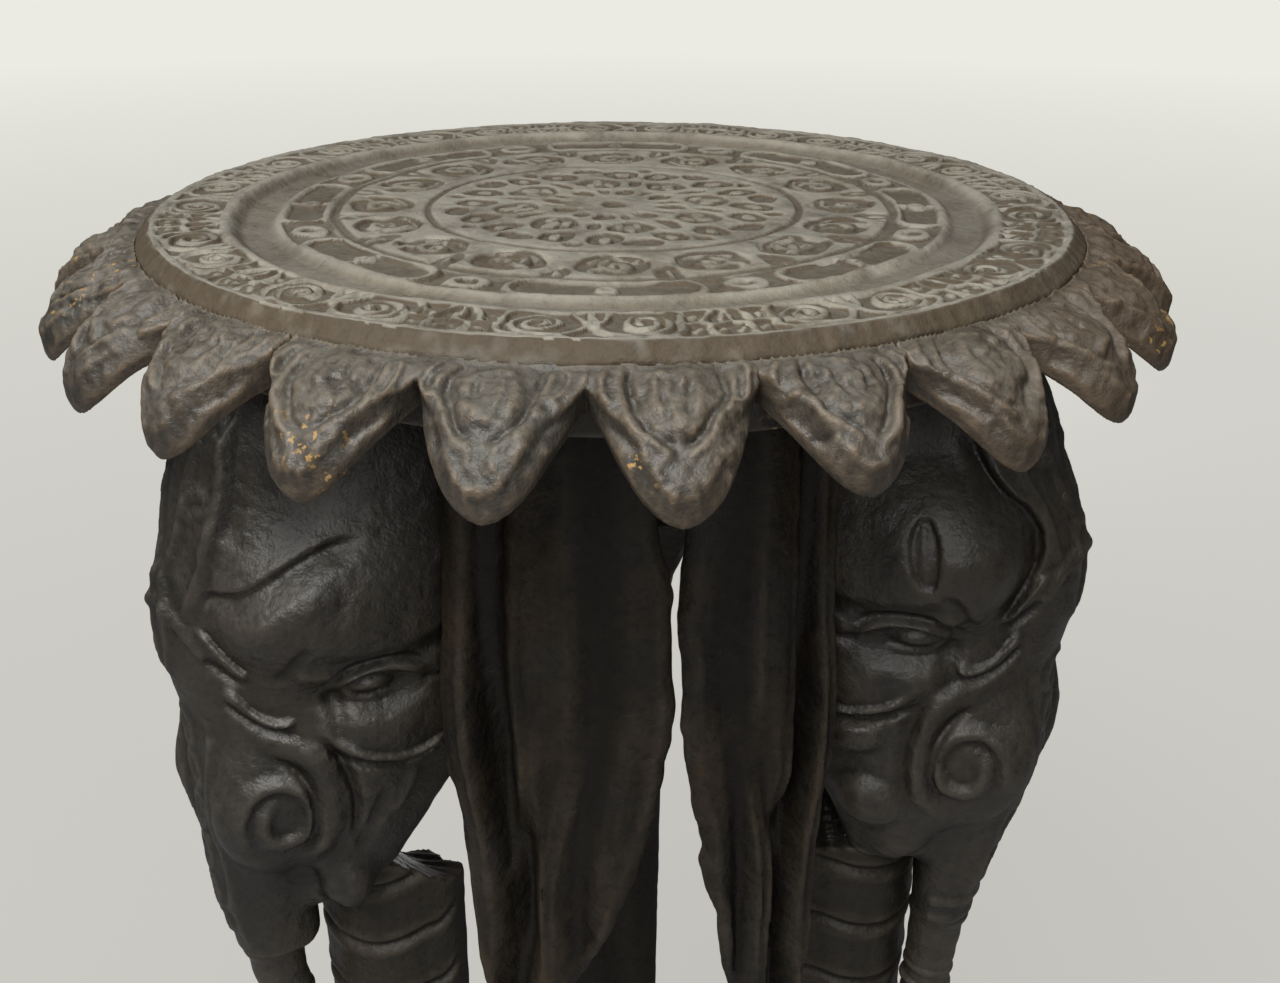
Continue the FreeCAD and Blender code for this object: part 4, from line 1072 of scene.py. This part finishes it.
def make_ear(side, number):
    """One hanging ear: a folded, tapering sheet with a rolled front fold and thin curled edge."""
    root, free = (np.array(end) * RIM for end in EAR_LINES[side])
    width = float(np.linalg.norm(free - root))
    along = (free - root) / width
    outward = np.array([along[1], -along[0]])
    if outward[0] < 0.0:
        outward = -outward
    step = 1.0 * COARSE
    low, high = (-4.0, -20.0, HEIGHT - 1.74 * RIM), (width + 8.0, 38.0, UNDERSIDE - 1.0)
    field = ear_field(*grid_axes(low, high, step), side, width, number, step)
    vertices, quads = surface_net(field, low, step)
    # Painted shade in the grooves between the ear's folds.
    deep = ear_fold(vertices[:, 0] / width, (HEIGHT - vertices[:, 2]) / RIM)
    plan = root + vertices[:, :1] * along + vertices[:, 1:2] * outward
    vertices = turned(np.column_stack([plan, vertices[:, 2]]), HEAD_ANGLES[number])
    handed = along[0] * outward[1] - along[1] * outward[0]
    quads = quads if handed > 0.0 else quads[:, ::-1]
    seed = 500 + 9 * number + (side == "left")
    add_piece("ear_%s_%d_carved" % (side, number), vertices, quads, wood_ear_shaded,
              "ear_%s_%d" % (side, number), 0.45, seed, painted_shade=np.clip(-deep / 6.0, 0.0, 0.9))


# Trunks and legs

# The lower trunk's middle line: depth, radius and half thickness, in rim radii.
TRUNK_LINE = (
    (1.57, 0.872, 0.058), (1.68, 0.863, 0.053), (1.80, 0.849, 0.048), (1.91, 0.827, 0.044),
    (2.00, 0.797, 0.041), (2.06, 0.758, 0.040),
)
TRUNK_ROWS = int(130 / COARSE)
TRUNK_SPOKES = 48
POST_HALF = ((1.0, 0.0), (0.95, 0.50), (0.76, 0.88), (0.45, 1.0), (0.14, 0.97), (0.0, 0.70), (0.0, 0.0))
POST_TOP = HEIGHT - 1.36 * RIM
POST_INNER, POST_OUTER, POST_WIDTH = 0.488, 0.735, 0.150
# Level sections of the foot: share of the ankle's height, inner and outer side and half width, in rim radii.
FOOT_SECTIONS = (
    (0.0, 0.465, 0.885, 0.210), (0.10, 0.452, 0.895, 0.216), (0.28, 0.455, 0.880, 0.210),
    (0.62, 0.472, 0.805, 0.175), (1.0, POST_INNER, POST_OUTER, POST_WIDTH),
)
TOE_ANGLES = (-69.0, -23.0, 23.0, 69.0)
TOE_SIZE = 8.2
# How far each post's sawn top stands lower behind the jaw, in millimetres.
SAWN_DROP = {1: 10.0, 2: 17.0, 3: 6.0}
# How much lower still its left end is sawn, in millimetres.
SAWN_TILT = {1: 4.0, 2: 22.0, 3: 0.0}
# Share of each post, from its inner side, that is left without bands.
UNBANDED = {1: 0.45, 2: 0.16, 3: 0.16}
ANKLE = 72.0
BANDS = 9


def make_trunk(number):
    """The slender lower trunk: ringed, tapering and bent in to the leg."""
    stations = np.array(TRUNK_LINE)
    length = np.concatenate([[0.0], np.cumsum(np.hypot(*np.diff(stations[:, :2], axis=0).T))])
    table = np.column_stack([length, stations])
    run = np.linspace(0.0, length[-1], TRUNK_ROWS)
    depth, radius, thick = (curve(run, table, k) for k in (1, 2, 3))
    radius = radius + SHEATH_LEAN[number] * ridge(depth, 1.60, 2.02)
    slope = np.stack([np.gradient(radius, run), np.gradient(depth, run)], -1)
    slope = slope / np.linalg.norm(slope, axis=1, keepdims=True)
    turn = spoke_angles(TRUNK_SPOKES)
    down = run[:, None] * RIM
    ring = 0.09 * hump(np.abs(down - 28.0), 2.6) + 0.16 * hump(np.abs(down - 36.0), 3.0)
    ring = ring + 0.10 * hump(down, 5.0) + 0.015 * np.sin(down * 0.62 + 0.5 * np.cos(turn)[None])
    r = thick[:, None] * RIM * (1.0 + ring) * (1.0 + 0.10 * np.cos(turn) ** 2)
    x = radius[:, None] * RIM + r * np.cos(turn) * slope[:, 1:2]
    y = r * np.sin(turn)
    z = HEIGHT - depth[:, None] * RIM + r * np.cos(turn) * slope[:, 0:1]
    z[0] = HEIGHT - SHEATH_END * RIM - CLEARANCE
    vertices = turned(np.stack([x, y, z], -1).reshape(-1, 3), HEAD_ANGLES[number])
    k, j = np.meshgrid(np.arange(TRUNK_ROWS - 1) * TRUNK_SPOKES, np.arange(TRUNK_SPOKES), indexing="ij")
    ahead = (j + 1) % TRUNK_SPOKES
    quads = np.stack([k + j, k + ahead, k + TRUNK_SPOKES + ahead, k + TRUNK_SPOKES + j], -1).reshape(-1, 4)
    m = np.arange(TRUNK_SPOKES // 2 - 1)
    cap = np.stack([m, m + 1, TRUNK_SPOKES - 2 - m, TRUNK_SPOKES - 1 - m], -1)
    quads = np.concatenate([quads, cap[:, ::-1], (TRUNK_ROWS - 1) * TRUNK_SPOKES + cap])
    add_piece("trunk_%d_carved" % number, vertices, quads[:, ::-1], wood_head,
              "trunk_%d" % number, 0.18, 600 + number, reach=0.8)


def leg_field(x, y, z, number):
    """Field of one leg, in millimetres, in its own frame: radius, sideways and height."""
    share = np.clip((z - ANKLE) / (POST_TOP - ANKLE), 0.0, 1.0)
    inner, outer, half = (curve(np.clip(z / ANKLE, 0.0, 1.0), FOOT_SECTIONS, k) for k in (1, 2, 3))
    inner = np.where(z > ANKLE, POST_INNER, inner)
    outer = np.where(z > ANKLE, POST_OUTER + 0.05 * share, outer)
    half = np.where(z > ANKLE, POST_WIDTH + 0.015 * share, half)
    u, v = x / RIM, np.abs(y) / RIM
    field, along = section_field(u, v, inner, outer, half, POST_HALF)
    field = field * RIM
    forward = np.clip(0.5 + 0.5 * along, 0.0, 1.0)
    flat_x, flat_y = x[:, :, 0], y[:, :, 0]
    spot = np.stack(np.broadcast_arrays(flat_x * 0.6, flat_y * 0.6, np.full_like(flat_x, 70.0 * number)), -1)
    sag = 13.0 * ridge(forward, 0.0, 0.42) - 4.0 * smooth(0.4, 1.0, forward)
    sag = sag + (1.6 * noise(spot, 18.0, 701))[:, :, None]
    pitch = (POST_TOP - ANKLE) / BANDS
    phase = (POST_TOP - z + sag - 8.0) / pitch
    gap = np.abs(phase - np.round(phase)) * pitch
    on_band = smooth(UNBANDED[number], UNBANDED[number] + 0.14, forward)
    on_band = on_band * band(z, ANKLE - 12.0, ANKLE + 6.0, POST_TOP - 9.0, POST_TOP - 4.0)
    field = field + (1.7 * hump(gap, 2.6) - 0.7 * hump(np.abs(gap - 4.2), 3.4)) * on_band
    toes = np.full(field.shape, 1e3)
    for angle in TOE_ANGLES:
        toe_x = 0.69 * RIM + 0.165 * RIM * math.cos(math.radians(angle))
        toe_y = 0.185 * RIM * math.sin(math.radians(angle))
        toe = np.sqrt((x - toe_x) ** 2 + (y - toe_y) ** 2 + ((z - 4.0) * 0.72) ** 2) - TOE_SIZE
        toes = np.minimum(toes, toe)
    field = soft_min(field, toes, 2.0)
    creases = hump(np.abs(z - 26.0 - 2.0 * np.sin(y * 0.09)), 2.4)
    creases = creases + hump(np.abs(z - 46.0 + 2.0 * np.sin(y * 0.08)), 2.4)
    field = field + 1.5 * creases * smooth(0.30, 0.5, forward)
    lower = SAWN_DROP[number] + SAWN_TILT[number] * np.clip(0.5 - y / (0.32 * RIM), 0.0, 1.0)
    sawn = POST_TOP - lower * ridge(u, 0.52, 0.72) + 0.5 * np.sin(x * 0.9 + 0.4 * y)
    return soft_max(soft_max(field, z - sawn, 0.6), -z, 1.0)


def make_leg(number):
    """One banded leg post with its splayed, toed foot."""
    step = 1.15 * COARSE
    low, high = (0.37 * RIM, -0.27 * RIM, -3.0), (0.95 * RIM, 0.27 * RIM, POST_TOP + 3.0)
    vertices, quads = surface_net(leg_field(*grid_axes(low, high, step), number), low, step)
    vertices[:, 2] = np.maximum(vertices[:, 2], 0.0)
    add_piece("leg_%d_carved" % number, turned(vertices, HEAD_ANGLES[number]), quads, wood_leg,
              "leg_%d" % number, 0.30, 800 + 3 * number, reach=1.1)


for number in HEAD_ANGLES:
    make_head(number)
    make_ear("left", number)
    make_ear("right", number)
    make_trunk(number)
    make_leg(number)


# Stage, light and camera, in metres

FLOOR_RADIUS = 9.0
FLOOR_SPOKES = 64
# Soft lamps: place, point aimed at, size and power.
LAMPS = {
    "key": ((-0.60, -0.95, 1.95), (0.0, 0.0, 0.45), 1.0, 46.0),
    "fill": ((0.15, -1.75, 1.25), (0.0, 0.0, 0.38), 1.0, 9.0),
    "back": ((0.40, 1.55, 0.14), (0.0, 0.0, 0.35), 0.22, 6.0),
}
# The photo's viewpoint, its turn, tilt and roll in degrees, and its lens.
CAMERA_PLACE = (-0.0231, -0.5292, 0.6605)
CAMERA_YAW, CAMERA_PITCH, CAMERA_ROLL = 3.606, 23.81, 0.359
CAMERA_SENSOR, CAMERA_LENS = 36.0, 42.19


def make_stage():
    """A wide pale floor that reads as white, with painted shade making it darker near the stand and lighter
    far off, and keeps the stand's shadow.
    """
    mesh = bpy.data.meshes.new("floor")
    ring = ring_points(FLOOR_RADIUS, spoke_angles(FLOOR_SPOKES), 0.0)
    mesh.from_pydata(ring.tolist(), [], [tuple(range(FLOOR_SPOKES))])
    floor = bpy.data.objects.new("floor", mesh)
    bpy.context.scene.collection.objects.link(floor)
    material = bpy.data.materials.new("floor_paint")
    n = Nodes(material)
    place = n.add("ShaderNodeTexCoord").outputs["Object"]
    paint = n.mix(n.noise(place, 3.0), (0.30, 0.295, 0.28), (0.34, 0.335, 0.32))
    n.tree.links.new(paint, n.shader.inputs["Base Color"])
    n.shader.inputs["Roughness"].default_value = 0.9
    seen = n.times(n.add("ShaderNodeLightPath").outputs["Is Camera Ray"], 0.80)
    reach = n.add("ShaderNodeVectorMath", {0: place}, operation="LENGTH").outputs["Value"]
    # Painted falloff: the floor's glow is darker near the stand and lighter far away.
    painted_falloff = n.mix(n.ramp(reach, 0.3, 4.5), (0.66, 0.645, 0.60), (1.03, 1.03, 0.955))
    glow = n.add("ShaderNodeEmission", {"Color": painted_falloff, "Strength": 1.0}).outputs[0]
    blend = n.add("ShaderNodeMixShader", {0: seen, 1: n.shader.outputs[0], 2: glow})
    n.tree.links.new(blend.outputs[0], n.tree.nodes["Material Output"].inputs["Surface"])
    mesh.materials.append(material)


def set_view(thing, right, upward, forward, place):
    """Put a lamp or camera at a place, looking forward."""
    bpy.context.scene.collection.objects.link(thing)
    rows = [(right[k], upward[k], -forward[k], place[k]) for k in range(3)]
    thing.matrix_world = Matrix(rows + [(0.0, 0.0, 0.0, 1.0)])


def add_lamp(name, place, target, size, power):
    """A soft square lamp aimed at a point."""
    data = bpy.data.lights.new(name, "AREA")
    data.shape = "SQUARE"
    data.size = size
    data.energy = power
    lamp = bpy.data.objects.new(name, data)
    lamp.visible_camera = False
    way = np.asarray(target) - np.asarray(place)
    way = way / np.linalg.norm(way)
    side = np.cross(way, (0.0, 0.0, 1.0))
    side = side / np.linalg.norm(side)
    set_view(lamp, side, np.cross(side, way), way, place)


def make_studio():
    """Even pale surroundings that light little and look white."""
    scene = bpy.context.scene
    scene.view_settings.view_transform = "Standard"
    world = bpy.data.worlds.new("studio")
    scene.world = world
    world.use_nodes = True
    tree = world.node_tree
    background = tree.nodes["Background"]
    path = tree.nodes.new("ShaderNodeLightPath")
    level = tree.nodes.new("ShaderNodeMapRange")
    level.inputs["To Min"].default_value = 0.06
    level.inputs["To Max"].default_value = 1.0
    tree.links.new(path.outputs["Is Camera Ray"], level.inputs["Value"])
    background.inputs["Color"].default_value = (0.96, 0.955, 0.945, 1.0)
    tree.links.new(level.outputs["Result"], background.inputs["Strength"])


def make_camera():
    """The camera at the photo's viewpoint."""
    yaw, pitch, roll = (math.radians(angle) for angle in (CAMERA_YAW, CAMERA_PITCH, CAMERA_ROLL))
    forward = np.array([math.sin(yaw) * math.cos(pitch), math.cos(yaw) * math.cos(pitch), -math.sin(pitch)])
    level_right = np.array([math.cos(yaw), -math.sin(yaw), 0.0])
    level_up = np.cross(level_right, forward)
    right = level_right * math.cos(roll) + level_up * math.sin(roll)
    upward = -level_right * math.sin(roll) + level_up * math.cos(roll)
    data = bpy.data.cameras.new("camera")
    data.sensor_fit = "HORIZONTAL"
    data.sensor_width = CAMERA_SENSOR
    data.lens = CAMERA_LENS
    camera = bpy.data.objects.new("camera", data)
    set_view(camera, right, upward, forward, CAMERA_PLACE)
    bpy.context.scene.camera = camera


make_stage()
make_studio()
for name, settings in LAMPS.items():
    add_lamp(name, *settings)
make_camera()

for name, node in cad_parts.items():
    if name == "core_block":
        material = wood_plain
    elif name.endswith(("dowels", "pegs", "splines")):
        material = wood_dowel
    else:
        continue
    for slot in node.material_slots:
        slot.material = material
